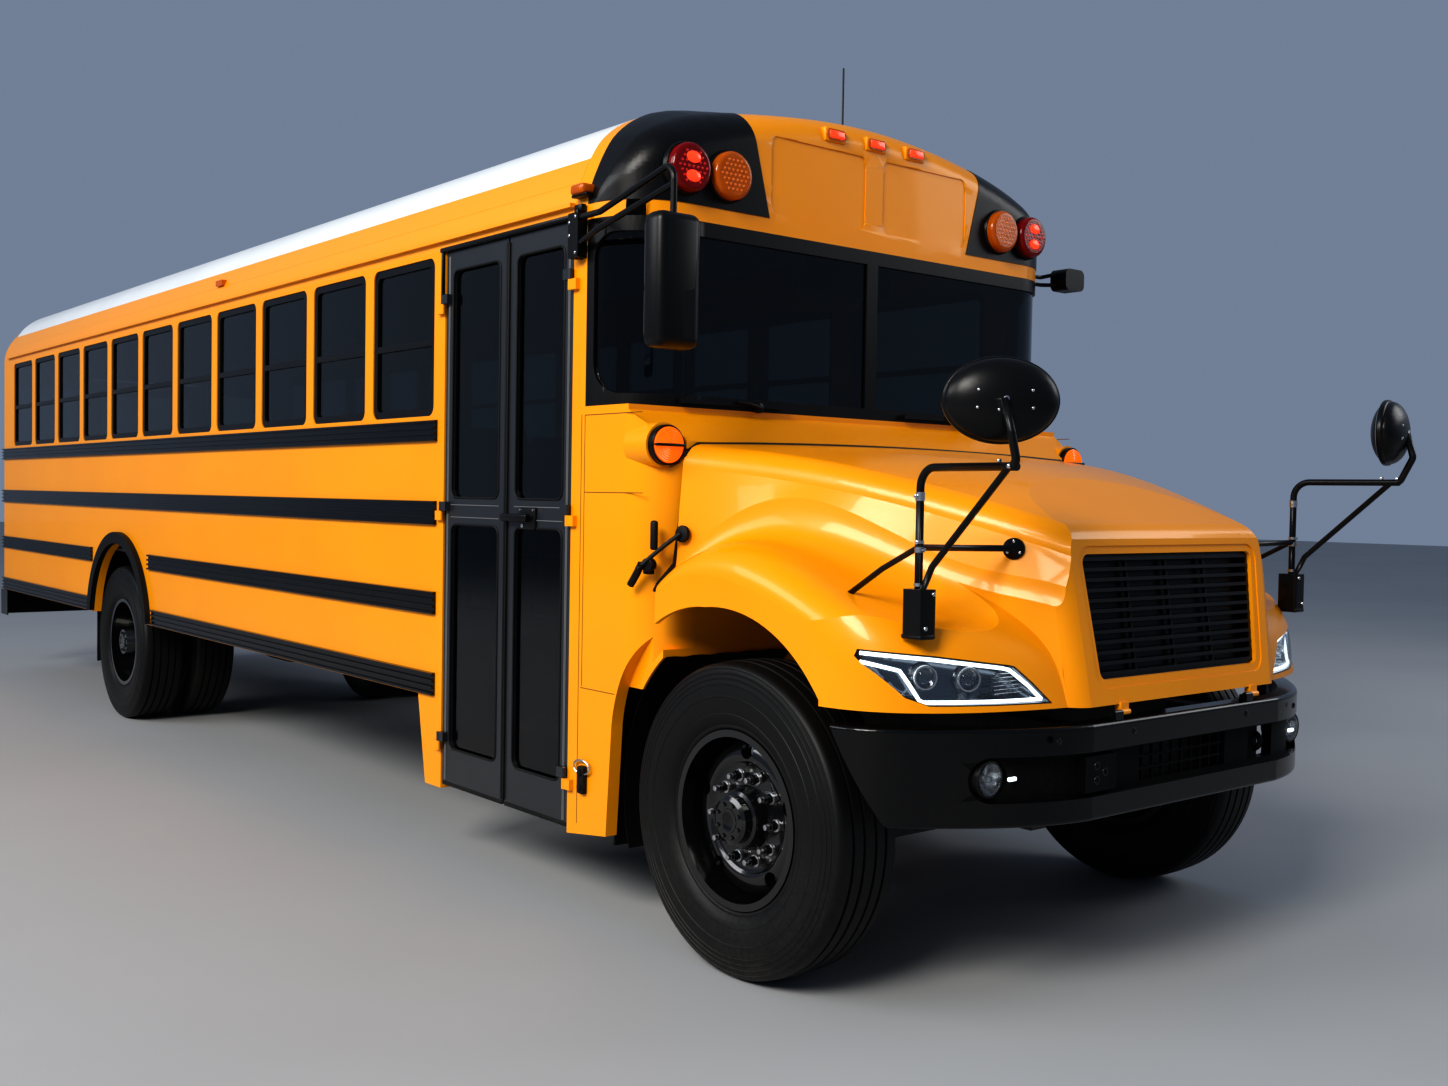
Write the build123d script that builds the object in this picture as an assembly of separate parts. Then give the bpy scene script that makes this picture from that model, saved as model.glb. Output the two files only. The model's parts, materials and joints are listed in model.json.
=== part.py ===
from build123d import *
import math
import os

# Long-nosed school bus, millimetres, +Z up, nose to -Y, entrance on -X, Y from the front axle

HALF_W = 1219

# Running gear
WHEELBASE = 6590
TYRE_R = 527
TYRE_W = 280
TYRE_EDGE = HALF_W - 19
RIM_R = 286
RIM_WALL = 12
RIM_HALF = 105
BORE_CLEAR = 0.05
DUAL_PITCH = 343
KINGPIN_X = TYRE_EDGE - 320
KINGPIN_R = 20
SPINDLE_R = 38
HUB_FACE = TYRE_EDGE - 95
HUB_CAP_R = 80
HUB_CAP_TALL = 30
STUD_PCD = 285.75
STUD_COUNT = 10
STUD_R = 11
REAR_TUBE_R = 70

# Body shell
WALL = 50
REAR_FACE = 9890
REAR_CAP_START = 9640
SIDE_TOP = 2635
SHOULDER_Z = 2640
SHOULDER_R = 330
SHOULDER_TURN = 70
SKIRT_Z = 700
LOW_SKIRT_Z = 311
FLOOR_TOP = 960
FLOOR_T = 60
STEP_COUNT = 3

# Side windows
WIN_COUNT = 11
WIN_PITCH = 685
WIN_FIRST = 2323
WIN_W = 600
WIN_Z0 = 1928
WIN_Z1 = 2615
WIN_R = 45
FRAME_BAR = 34
SASH_Z = 2250
SASH_H = 30
GLASS_T = 8

# Entrance door
DOOR_Y0 = 926
DOOR_Y1 = 1925
DOOR_Z0 = 335
DOOR_Z1 = 2620
DOOR_GAP = 8
DOOR_T = 40
LEAF_SEAM = 1403
SEAM_GAP = 12
HINGE_OUT = 14

# Windscreen and cowl
SCREEN_Y = 565
SCREEN_Z0 = 1922
SCREEN_Z1 = 2600
SCREEN_R = 255
SCREEN_END = 838
COWL_Y = 402
COWL_R = 190
COWL_TOP_FRONT = 1790

# Hood
HOOD_GAP = 14
HOOD_T = 20
HOOD_BOTTOM = 965
NOSE_BOTTOM_Y = -934
NOSE_LEAN = 8.5
HOOD_HINGE_Y = -942
HOOD_HINGE_Z = 940

# Bumpers and rails
BUMPER_Z0 = 618
BUMPER_Z1 = 918
BUMPER_T = 70
RAIL_PROUD = 18
REAR_BUMPER_Y = 9960
FRAME_X = 430
FRAME_H = 260
FRAME_Z = 620
FRAME_T = 10
FRAME_FLANGE = 80

# Outermost points of the mirrors, and of the whole bus
MIRROR_REACH = HALF_W + 231
FRONT_TIP = -1150
SEAT_GAP = 0.3

SHIFT_Y = -(FRONT_TIP + REAR_BUMPER_Y) / 2

nodes = {}


def keep(name, shape):
    nodes[name] = shape


def box(x0, x1, y0, y1, z0, z1):
    middle = Pos((x0 + x1) / 2, (y0 + y1) / 2, (z0 + z1) / 2)
    return middle * Box(x1 - x0, y1 - y0, z1 - z0)


def both(shape):
    return [shape, mirror(shape, about=Plane.YZ)]


def mirrored(shape):
    return shape + mirror(shape, about=Plane.YZ)


def polygon(points):
    return make_face(Polyline(*points, close=True))


def along_x(face, x0, x1):
    """A face drawn as (y, z), extruded from x0 to x1."""
    return Pos(x0, 0, 0) * extrude(Plane.YZ * face, x1 - x0)


def along_y(face, y0, y1):
    """A face drawn as (x, z), extruded from y0 to y1."""
    return Pos(0, y0, 0) * extrude(Plane.XZ * face, y0 - y1)


def along_z(face, z0, z1):
    """A face drawn as (x, y), extruded from z0 to z1."""
    return Pos(0, 0, z0) * extrude(face, z1 - z0)


def rod_x(x0, x1, y, z, r):
    return Pos(x0, y, z) * Rot(0, 90, 0) * Cylinder(r, x1 - x0, align=(Align.CENTER, Align.CENTER, Align.MIN))


def rod_y(x, y0, y1, z, r):
    return Pos(x, y0, z) * Rot(-90, 0, 0) * Cylinder(r, y1 - y0, align=(Align.CENTER, Align.CENTER, Align.MIN))


def rod_z(x, y, z0, z1, r):
    return Pos(x, y, z0) * Cylinder(r, z1 - z0, align=(Align.CENTER, Align.CENTER, Align.MIN))


def turned_x(points, x=0, y=0, z=0):
    """Revolve a closed outline of (x, radius) about the X axis through (y, z)."""
    outline = Plane.XZ * polygon(points)
    return Pos(x, y, z) * revolve(outline, Axis.X)


def tube_path(points, bends, r):
    """A round bar along a bent route."""
    route = FilletPolyline(*points, radius=bends)
    start = Plane(origin=route @ 0, z_dir=route % 0)
    return sweep(start * Circle(r), path=route)


def solids(*shapes):
    return Compound(children=[s for shape in shapes for s in shape.solids()])


HINGE_R = 9
HINGE_PIN = 5
HINGE_HALF = 40
HINGE_SLIT = 0.5
STRAP_LONG = 45


def pin_hinge(fixed_box, moving_box):
    """Pin hinge standing on Z at the origin: the fixed half with its pin, and the bored moving half."""
    fixed = rod_z(0, 0, -HINGE_HALF, 0, HINGE_R) + rod_z(0, 0, -HINGE_HALF, HINGE_HALF, HINGE_PIN)
    fixed += box(*fixed_box, -HINGE_HALF, 0)
    moving = rod_z(0, 0, HINGE_SLIT, HINGE_HALF, HINGE_R) + box(*moving_box, HINGE_SLIT, HINGE_HALF)
    moving -= rod_z(0, 0, 0, HINGE_HALF + 1, HINGE_PIN + BORE_CLEAR)
    return fixed, moving


# Roof section: upright side, tight shoulder, wide crown
CROWN_R = SHOULDER_R + (HALF_W - SHOULDER_R) / math.cos(math.radians(SHOULDER_TURN))
CROWN_Z = SHOULDER_Z - (CROWN_R - SHOULDER_R) * math.sin(math.radians(SHOULDER_TURN))
ROOF_TOP = CROWN_Z + CROWN_R


def roof_face(inset, base):
    side = HALF_W - inset
    r = SHOULDER_R - inset
    mid = math.radians(SHOULDER_TURN / 2)
    end = math.radians(SHOULDER_TURN)
    cx = HALF_W - SHOULDER_R
    low = (side, base)
    high = (side, SHOULDER_Z)
    bend = (cx + r * math.cos(mid), SHOULDER_Z + r * math.sin(mid))
    crown = (cx + r * math.cos(end), SHOULDER_Z + r * math.sin(end))

    def left(p):
        return (-p[0], p[1])

    outline = [
        Line(low, high),
        ThreePointArc(high, bend, crown),
        ThreePointArc(crown, (0, ROOF_TOP - inset), left(crown)),
        ThreePointArc(left(crown), left(bend), left(high)),
        Line(left(high), left(low)),
        Line(left(low), low),
    ]
    return make_face(outline)


def nose_plan(inset, front, radius, rear):
    """Plan of the wrapped front: flat with round corners, as (x, y)."""
    side = HALF_W - inset
    plan = polygon([(-side, front + inset), (side, front + inset), (side, rear), (-side, rear)])
    corners = plan.vertices().sort_by(Axis.Y)[:2]
    return fillet(corners, radius - inset)


ARCH_FRONT = (-446, 984)
ARCH_CROWN = (108, 1227)
ARCH_BACK = (640, 760)
ARCH_FOOT = (678, 200)


def arch_face():
    """Front wheel opening as (y, z), low at the rear, square in front."""
    front_foot = (ARCH_FRONT[0], ARCH_FOOT[1])
    outline = [
        ThreePointArc(ARCH_FRONT, (-221, 1172), ARCH_CROWN),
        ThreePointArc(ARCH_CROWN, (472, 1085), ARCH_BACK),
        Line(ARCH_BACK, ARCH_FOOT),
        Line(ARCH_FOOT, front_foot),
        Line(front_foot, ARCH_FRONT),
    ]
    return make_face(outline)


# Rear wheel opening in the side walls
REAR_ARCH_Y = WHEELBASE - 64
REAR_ARCH_Z = 611
REAR_ARCH_R = 600
FLARE_W = 77


def window_centres():
    return [WIN_FIRST + k * WIN_PITCH for k in range(WIN_COUNT)]


def window_cut(y, width, z0, z1, radius):
    hole = Pos(y, (z0 + z1) / 2) * RectangleRounded(width, z1 - z0, radius)
    return hole


# Side walls
DRIVER_WIN = (1420, 900, 1760)


def side_wall(points, holes):
    face = polygon(points)
    for hole in holes:
        face -= hole
    arch = Pos(REAR_ARCH_Y, REAR_ARCH_Z) * Circle(REAR_ARCH_R)
    return along_x(face - arch, HALF_W - WALL, HALF_W)


def side_points(start):
    return [
        (start, LOW_SKIRT_Z), (2067, LOW_SKIRT_Z), (2141, SKIRT_Z),
        (REAR_CAP_START, SKIRT_Z), (REAR_CAP_START, SIDE_TOP), (start, SIDE_TOP),
    ]


bus_windows = [window_cut(y, WIN_W, WIN_Z0, WIN_Z1, WIN_R) for y in window_centres()]
driver_window = window_cut(DRIVER_WIN[0], DRIVER_WIN[1], DRIVER_WIN[2], WIN_Z1, WIN_R)
left_wall = side_wall(side_points(DOOR_Y0), bus_windows + [driver_window])
right_wall = mirror(side_wall(side_points(DOOR_Y1), bus_windows), about=Plane.YZ)
keep("side_left", left_wall)
keep("side_right", right_wall)


FRAME_IN = 6
FRAME_DEPTH = 30


def clear_opening(y, width, z0):
    """What the aluminium frame of a side window leaves open, as (y, z)."""
    return window_cut(y, width - 2 * FRAME_BAR, z0 + FRAME_BAR, WIN_Z1 - FRAME_BAR, WIN_R - 20)


def sash_bar(y, width):
    return Pos(y, SASH_Z) * Rectangle(width - 2 * FRAME_BAR, SASH_H)


def framed(y, width, z0):
    ring = window_cut(y, width, z0, WIN_Z1, WIN_R) - clear_opening(y, width, z0)
    return along_x(ring + sash_bar(y, width), HALF_W - FRAME_IN - FRAME_DEPTH, HALF_W - FRAME_IN)


def window_panes(y, width, z0):
    middle = HALF_W - FRAME_IN - FRAME_DEPTH / 2
    panes = clear_opening(y, width, z0) - sash_bar(y, width)
    return [along_x(face, middle - GLASS_T / 2, middle + GLASS_T / 2) for face in panes.faces()]


right_frames = [framed(y, WIN_W, WIN_Z0) for y in window_centres()]
left_frames = right_frames + [framed(DRIVER_WIN[0], DRIVER_WIN[1], DRIVER_WIN[2])]
right_panes = [p for y in window_centres() for p in window_panes(y, WIN_W, WIN_Z0)]
left_panes = right_panes + window_panes(*DRIVER_WIN)
keep("window_frames", solids(*left_frames, *[mirror(f, about=Plane.YZ) for f in right_frames]))

# Roof and its escape hatch
HATCH_Y = 3030
HATCH_HALF = 300
HATCH_T = 28
HATCH_RIM = 30
roof = along_y(roof_face(0, SIDE_TOP), DOOR_Y0, REAR_CAP_START)
roof -= along_y(roof_face(WALL, SIDE_TOP - 1), DOOR_Y0 - 1, REAR_CAP_START + 1)
hatch_hole = box(-HATCH_HALF, HATCH_HALF, HATCH_Y - HATCH_HALF, HATCH_Y + HATCH_HALF,
                 ROOF_TOP - 120, ROOF_TOP + 60)
GUTTER_Z = 2676
gutter = box(HALF_W - 3, HALF_W + 22, DOOR_Y0, REAR_CAP_START, GUTTER_Z - 8, GUTTER_Z + 8)
curb_low = ROOF_TOP - 60
curb_top = ROOF_TOP + 25
curb_out = HATCH_HALF + HATCH_RIM
curb = box(-curb_out, curb_out, HATCH_Y - curb_out, HATCH_Y + curb_out, curb_low, curb_top)
roof = roof + mirrored(gutter) + curb - hatch_hole
lid_half = curb_out + 14
lid_z = curb_top + HINGE_SLIT
lid = box(-lid_half, lid_half, HATCH_Y - lid_half, HATCH_Y + lid_half, lid_z, lid_z + HATCH_T)
lid = fillet(lid.edges().filter_by(Axis.Z), 60)

# Pinned hinges along the front of the hatch curb
LID_Y = HATCH_Y - lid_half - 12
for x in (-200, 200):
    ear = rod_x(x - HINGE_HALF, x, LID_Y, lid_z, HINGE_R)
    ear += rod_x(x - HINGE_HALF, x + HINGE_HALF, LID_Y, lid_z, HINGE_PIN)
    ear += box(x - HINGE_HALF, x, LID_Y - HINGE_R, LID_Y + 4, ROOF_TOP - 12, lid_z)
    flap = rod_x(x + HINGE_SLIT, x + HINGE_HALF, LID_Y, lid_z, HINGE_R)
    flap += box(x + HINGE_SLIT, x + HINGE_HALF, LID_Y, LID_Y + 30, lid_z, lid_z + HINGE_R)
    flap -= rod_x(x - 1, x + HINGE_HALF + 1, LID_Y, lid_z, HINGE_PIN + BORE_CLEAR)
    roof += ear
    lid += flap
keep("roof_hatch", lid)

# The roof sheets lap at two bows, one each side of the hatch
BOW_OFF = 520
ROOF_BAYS = [DOOR_Y0, HATCH_Y - BOW_OFF, HATCH_Y + BOW_OFF, REAR_CAP_START]
sheets = [
    roof & box(-2 * HALF_W, 2 * HALF_W, y0, y1, 0, ROOF_TOP + 200)
    for y0, y1 in zip(ROOF_BAYS, ROOF_BAYS[1:])
]
keep("roof", solids(*sheets))

# Front cap above the windscreen, wrapped in plan and rounded into the roof
CAP_ROUND = 110
CAP_BASE = SCREEN_Z1 + 10


def cap_form(grow):
    form = along_y(roof_face(-grow, CAP_BASE - grow), SCREEN_Y - grow, DOOR_Y0)
    form &= along_z(nose_plan(-grow, SCREEN_Y, SCREEN_R, DOOR_Y0 + 1), CAP_BASE - grow, ROOF_TOP + 100)
    brow = [
        edge for edge in form.edges()
        if edge.bounding_box().min.Z > SHOULDER_Z - 2 and edge.bounding_box().max.Y < DOOR_Y0 - 5
    ]
    return form.fillet(CAP_ROUND + grow, brow)


EMBOSS_IN = 50
EMBOSS_OUT = 560
EMBOSS_Z0 = 2690
EMBOSS_Z1 = 2985
EMBOSS_DEPTH = 5
cap_outer = cap_form(0)
cap = cap_outer - along_y(roof_face(WALL, SCREEN_Z1), SCREEN_Y + WALL, DOOR_Y0 + 1)
cap -= along_z(nose_plan(WALL, SCREEN_Y, SCREEN_R, DOOR_Y0 + 1), SCREEN_Z1, CAP_BASE + 30)
emboss_mid = Pos((EMBOSS_IN + EMBOSS_OUT) / 2, (EMBOSS_Z0 + EMBOSS_Z1) / 2)
emboss = emboss_mid * RectangleRounded(EMBOSS_OUT - EMBOSS_IN, EMBOSS_Z1 - EMBOSS_Z0, 30)
cap -= mirrored(along_y(emboss, SCREEN_Y - 1, SCREEN_Y + EMBOSS_DEPTH))
keep("front_cap", cap)

# Cowl: box ahead of the windscreen, quarter panels, firewall and door posts
cowl_side = polygon([
    (COWL_Y, LOW_SKIRT_Z + 70), (DOOR_Y0, LOW_SKIRT_Z), (DOOR_Y0, SCREEN_Z0),
    (SCREEN_Y, SCREEN_Z0), (SCREEN_Y, SCREEN_Z0 - 20), (COWL_Y, COWL_TOP_FRONT),
])
cowl = along_x(cowl_side, -HALF_W, HALF_W)
cowl &= along_z(nose_plan(0, COWL_Y, COWL_R, DOOR_Y0 + 1), 0, 3000)
inside = HALF_W - WALL
cowl -= along_z(nose_plan(WALL, COWL_Y, COWL_R, DOOR_Y0 + 1), FLOOR_TOP, COWL_TOP_FRONT - WALL)
cowl -= along_z(nose_plan(WALL, SCREEN_Y, SCREEN_R, DOOR_Y0 + 1), COWL_TOP_FRONT - WALL - 1, SCREEN_Z0 + 1)
cowl -= box(-inside, inside, COWL_Y - 1, DOOR_Y0 + 1, 0, FLOOR_TOP - FLOOR_T)
wheel_room = 640
liner_t = 22
room = rod_x(560, HALF_W - WALL, 0, TYRE_R, wheel_room)
liner = rod_x(560, HALF_W - WALL, 0, TYRE_R, wheel_room + liner_t) - room
liner &= box(0, HALF_W, COWL_Y, DOOR_Y0, FLOOR_TOP - FLOOR_T, 1200)
arch_skin = along_x(arch_face(), HALF_W - WALL - 1, HALF_W + 1)
cowl = cowl - mirrored(room) - mirrored(arch_skin) + mirrored(liner)
post = box(HALF_W - WALL, HALF_W, SCREEN_END, DOOR_Y0, SCREEN_Z0, SCREEN_Z1 + 10)
cowl += mirrored(post)
keep("cowl", cowl)

# Windscreen rubber with its centre post, and the black light panels above
SCREEN_BAR = 45


def screen_band(inset, thick, z0, z1):
    band = nose_plan(inset, SCREEN_Y, SCREEN_R, SCREEN_END)
    band -= nose_plan(inset + thick, SCREEN_Y, SCREEN_R, SCREEN_END + 1)
    return along_z(band, z0, z1)


SCREEN_IN_Z0 = SCREEN_Z0 + SCREEN_BAR
SCREEN_IN_Z1 = SCREEN_Z1 - SCREEN_BAR
SCREEN_IN_END = SCREEN_END - SCREEN_BAR
SCREEN_LOW_R = 120
SCREEN_HIGH_R = 95
RUBBER_T = 30
POST_HALF = SCREEN_BAR * 0.7


def screen_side(front):
    """Side view of the clear screen as (y, z), with its rear corners rounded."""
    low = (SCREEN_IN_END, SCREEN_IN_Z0)
    high = (SCREEN_IN_END, SCREEN_IN_Z1)
    face = polygon([(front, SCREEN_IN_Z0), low, high, (front, SCREEN_IN_Z1)])
    rear = face.vertices().sort_by(Axis.X)[2:].sort_by(Axis.Y)
    face = fillet(rear[0], SCREEN_LOW_R)
    return fillet(face.vertices().group_by(Axis.X)[-1].sort_by(Axis.Y)[-1], SCREEN_HIGH_R)


rubber = screen_band(0, RUBBER_T, SCREEN_Z0, CAP_BASE)
screen_in = HALF_W - RUBBER_T - 4
rubber -= box(-screen_in, screen_in, 0, SCREEN_IN_END, SCREEN_IN_Z0, SCREEN_IN_Z1)
rubber -= along_x(screen_side(SCREEN_Y + 60), -HALF_W - 1, HALF_W + 1)
rubber += box(-POST_HALF, POST_HALF, SCREEN_Y, SCREEN_Y + RUBBER_T, SCREEN_Z0, SCREEN_Z1)
corner_x = HALF_W - SCREEN_R
rubber_bays = [
    rubber & box(x0, x1, 0, DOOR_Y0, 0, 3000)
    for x0, x1 in ((-HALF_W, -corner_x), (-corner_x, corner_x), (corner_x, HALF_W))
]

# Black lamp panels that wrap the upper corners of the cap
PANEL_Z0 = 2668
PANEL_IN_LOW = HALF_W - 651
PANEL_IN_TOP = HALF_W - 553
PANEL_T = 3
PANEL_END = DOOR_Y0 - 90
panel_top = ROOF_TOP + 100
panel_slant = (PANEL_IN_TOP - PANEL_IN_LOW) / (3035 - PANEL_Z0)
panel_region = along_y(polygon([
    (PANEL_IN_LOW, PANEL_Z0), (HALF_W + 100, PANEL_Z0), (HALF_W + 100, panel_top),
    (PANEL_IN_LOW + panel_slant * (panel_top - PANEL_Z0), panel_top),
]), SCREEN_Y - 100, PANEL_END)
panel_form = cap_form(PANEL_T)
light_panel = (panel_form - cap_outer) & panel_region
keep("front_trim", solids(*rubber_bays, *both(light_panel)))
glass_in = 10
screen = screen_band(glass_in, GLASS_T, SCREEN_IN_Z0, SCREEN_IN_Z1)
screen &= along_x(screen_side(SCREEN_Y - 10), -HALF_W, HALF_W)
screen -= box(-POST_HALF, POST_HALF, 0, SCREEN_Y + 60, 0, 3000)

# Rear wall, drawn as the closed end of the body
REAR_DOOR_HALF = 480
REAR_DOOR_Z0 = 1005
REAR_DOOR_Z1 = 2560
REAR_ROUND = 90
rear = along_y(roof_face(0, SKIRT_Z), REAR_CAP_START, REAR_FACE)
rear_edges = rear.faces().sort_by(Axis.Y)[-1].edges().sort_by(Axis.Z)[1:]
rear = fillet(rear_edges, REAR_ROUND)
rear -= along_y(roof_face(WALL, SKIRT_Z - 1), REAR_CAP_START - 1, REAR_FACE - WALL)
door_hole = box(-REAR_DOOR_HALF, REAR_DOOR_HALF, REAR_CAP_START, REAR_FACE + 1, REAR_DOOR_Z0, REAR_DOOR_Z1)
rear -= door_hole
REAR_WIN_X = 840
REAR_WIN_W = 480
REAR_WIN_Z0 = 1850
REAR_WIN_Z1 = 2480


def rear_window(grow):
    size_x = REAR_WIN_W + 2 * grow
    size_z = REAR_WIN_Z1 - REAR_WIN_Z0 + 2 * grow
    return Pos(REAR_WIN_X, (REAR_WIN_Z0 + REAR_WIN_Z1) / 2) * RectangleRounded(size_x, size_z, WIN_R + grow)


rear -= mirrored(along_y(rear_window(0), REAR_FACE - WALL - 1, REAR_FACE + 1))
keep("rear_wall", rear)
rear_panes = both(along_y(rear_window(0), REAR_FACE - 24, REAR_FACE - 24 + GLASS_T))
keep("glass", solids(screen, *left_panes, *[mirror(p, about=Plane.YZ) for p in right_panes], *rear_panes))

# Rear emergency door
RDOOR_GAP = 8
leaf_half = REAR_DOOR_HALF - RDOOR_GAP
rear_door = box(-leaf_half, leaf_half, REAR_FACE - DOOR_T, REAR_FACE,
                REAR_DOOR_Z0 + RDOOR_GAP, REAR_DOOR_Z1 - RDOOR_GAP)
RDOOR_WINS = [(1180, 1600), (1850, 2440)]
rear_door_panes = []
for z0, z1 in RDOOR_WINS:
    hole = Pos(0, (z0 + z1) / 2) * RectangleRounded(2 * leaf_half - 160, z1 - z0, WIN_R)
    rear_door -= along_y(hole, REAR_FACE - DOOR_T - 1, REAR_FACE + 1)
    rear_door_panes.append(along_y(hole, REAR_FACE - 24, REAR_FACE - 24 + GLASS_T))
RHINGE_X = -REAR_DOOR_HALF - 4
RHINGE_Y = REAR_FACE + HINGE_OUT
keep("rear_door", rear_door)
keep("rear_door_glass", solids(*rear_door_panes))

# Floor with the entrance steps and the rear wheel boxes
inner_w = HALF_W - WALL
STEP_IN = -430
WHEEL_BOX_HALF = 620
WHEEL_BOX_TOP = 1150
WHEEL_BOX_IN = 560
BOX_T = 20
floor_z0 = FLOOR_TOP - FLOOR_T
slab = box(-inner_w, inner_w, DOOR_Y0, REAR_FACE - WALL, floor_z0, FLOOR_TOP)
well = box(-inner_w - 1, STEP_IN, DOOR_Y0 + 24, DOOR_Y1 - 24, 0, FLOOR_TOP + 1)
floor = slab - well
STEP_RISE = (FLOOR_TOP - 380) / STEP_COUNT
STEP_RUN = (inner_w + STEP_IN) / STEP_COUNT
for step in range(STEP_COUNT):
    tread_z = 380 + step * STEP_RISE
    x0 = -inner_w + step * STEP_RUN
    floor += box(x0, x0 + STEP_RUN, DOOR_Y0, DOOR_Y1, tread_z - 30, tread_z)
    floor += box(x0 + STEP_RUN - 20, x0 + STEP_RUN, DOOR_Y0, DOOR_Y1, tread_z - 30, tread_z + STEP_RISE)
for wall_y in (DOOR_Y0, DOOR_Y1 - 24):
    floor += box(-inner_w, STEP_IN, wall_y, wall_y + 24, 350, FLOOR_TOP)
axle_room = box(WHEEL_BOX_IN, inner_w + 1, WHEELBASE - WHEEL_BOX_HALF, WHEELBASE + WHEEL_BOX_HALF,
                0, WHEEL_BOX_TOP)
axle_box = box(WHEEL_BOX_IN - BOX_T, inner_w, WHEELBASE - WHEEL_BOX_HALF - BOX_T,
               WHEELBASE + WHEEL_BOX_HALF + BOX_T, floor_z0, WHEEL_BOX_TOP + BOX_T)
floor = floor + mirrored(axle_box) - mirrored(axle_room)
keep("floor", floor)

# Chassis: two channel rails, cross members and body sills
rail_profile = polygon([
    (FRAME_X, FRAME_Z), (FRAME_X, FRAME_Z + FRAME_H), (FRAME_X - FRAME_FLANGE, FRAME_Z + FRAME_H),
    (FRAME_X - FRAME_FLANGE, FRAME_Z + FRAME_H - FRAME_T), (FRAME_X - FRAME_T, FRAME_Z + FRAME_H - FRAME_T),
    (FRAME_X - FRAME_T, FRAME_Z + FRAME_T), (FRAME_X - FRAME_FLANGE, FRAME_Z + FRAME_T),
    (FRAME_X - FRAME_FLANGE, FRAME_Z),
])
FRAME_Y0 = -850
FRAME_Y1 = REAR_FACE - WALL - 2
rails = both(along_y(rail_profile, FRAME_Y0, FRAME_Y1))
CROSS_Y = [-800, 1200, 2600, 4000, 5400, 7700, 9100, 9780]
CROSS_HALF = 30
SILL_Y = [2300, 3400, 4500, 5600, 7600, 8600, 9500]
SILL_HALF = 40
web_x = FRAME_X - FRAME_T
frame_top = FRAME_Z + FRAME_H
sill_top = FLOOR_TOP - FLOOR_T
crosses = [box(-web_x, web_x, y - CROSS_HALF, y + CROSS_HALF, FRAME_Z + 60, frame_top - 60) for y in CROSS_Y]
sills = [box(-inner_w + 40, inner_w - 40, y - SILL_HALF, y + SILL_HALF, frame_top, sill_top) for y in SILL_Y]
step_sill = box(-FRAME_X, FRAME_X, DOOR_Y0 + 80, DOOR_Y0 + 160, frame_top, sill_top)
keep("frame_rails", solids(*rails, *crosses, *sills, step_sill))

# Engine: one plain block carried between the rails
ENGINE_HALF = 330
engine = box(-ENGINE_HALF, ENGINE_HALF, -640, 330, 700, 1430)
engine += box(-FRAME_X + FRAME_T, FRAME_X - FRAME_T, -300, -200, 740, 800)
keep("engine_block", engine)

# Front axle: dropped beam with a kingpin eye at each end
EYE_R = 46
EYE_Z0 = 455
EYE_Z1 = 600
EAR_CLEAR_X = KINGPIN_X - EYE_R - 14
beam_z = 420
beam = along_y(polygon([
    (-KINGPIN_X, EYE_Z0 + 20), (-KINGPIN_X, EYE_Z1 - 20), (-EAR_CLEAR_X, EYE_Z1 - 20), (-560, beam_z + 45),
    (560, beam_z + 45), (EAR_CLEAR_X, EYE_Z1 - 20), (KINGPIN_X, EYE_Z1 - 20), (KINGPIN_X, EYE_Z0 + 20),
    (EAR_CLEAR_X, EYE_Z0 + 20), (560, beam_z - 45), (-560, beam_z - 45), (-EAR_CLEAR_X, EYE_Z0 + 20),
]), -45, 45)
for side in (-1, 1):
    beam += rod_z(side * KINGPIN_X, 0, EYE_Z0, EYE_Z1, EYE_R)
for side in (-1, 1):
    beam -= rod_z(side * KINGPIN_X, 0, EYE_Z0 - 1, EYE_Z1 + 1, KINGPIN_R + BORE_CLEAR)
keep("front_axle", beam)

# Rear axle with its differential and the drive shaft
rear_axle = rod_x(-KINGPIN_X + 20, KINGPIN_X - 20, WHEELBASE, TYRE_R, REAR_TUBE_R)
rear_axle += rod_x(-HUB_FACE - 45, HUB_FACE + 45, WHEELBASE, TYRE_R, SPINDLE_R)
rear_axle += Pos(0, WHEELBASE, TYRE_R) * Rot(90, 0, 0) * Cylinder(200, 260)
rear_axle += rod_y(0, WHEELBASE - 420, WHEELBASE, TYRE_R, 90)
rear_axle += rod_y(0, 1700, WHEELBASE - 400, TYRE_R, 45)
hanger = box(-60, 60, 1690, 1760, TYRE_R - 80, FRAME_Z + 80)
rear_axle += hanger + box(-FRAME_X + FRAME_T, FRAME_X - FRAME_T, 1690, 1760, FRAME_Z + 40, FRAME_Z + 80)
keep("rear_axle", rear_axle)

# Leaf springs: stepped packs, eyes on the rails
SPRING_X = 390
SPRING_W = 76


def leaf_pack(y, seat_z, half):
    x0 = SPRING_X - SPRING_W / 2
    x1 = SPRING_X + SPRING_W / 2
    pack = box(x0, x1, y - half, y + half, seat_z + 48, seat_z + 62)
    for step, share in enumerate((0.8, 0.6, 0.4)):
        z = seat_z + 32 - step * 16
        pack += box(x0, x1, y - half * share, y + half * share, z, z + 16)
    for end in (-1, 1):
        pack += box(x0, x1, y + end * half - 40, y + end * half + 40, seat_z + 48, FRAME_Z)
    return pack


front_pack = leaf_pack(0, beam_z + 45, 600)
rear_pack = leaf_pack(WHEELBASE, TYRE_R + REAR_TUBE_R - 55, 700)
rear_pack -= rod_x(0, HALF_W, WHEELBASE, TYRE_R, REAR_TUBE_R)
rear_pack = rear_pack & box(0, HALF_W, 0, REAR_FACE, TYRE_R, FRAME_Z)
keep("leaf_springs", solids(*both(front_pack), *both(rear_pack)))

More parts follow.
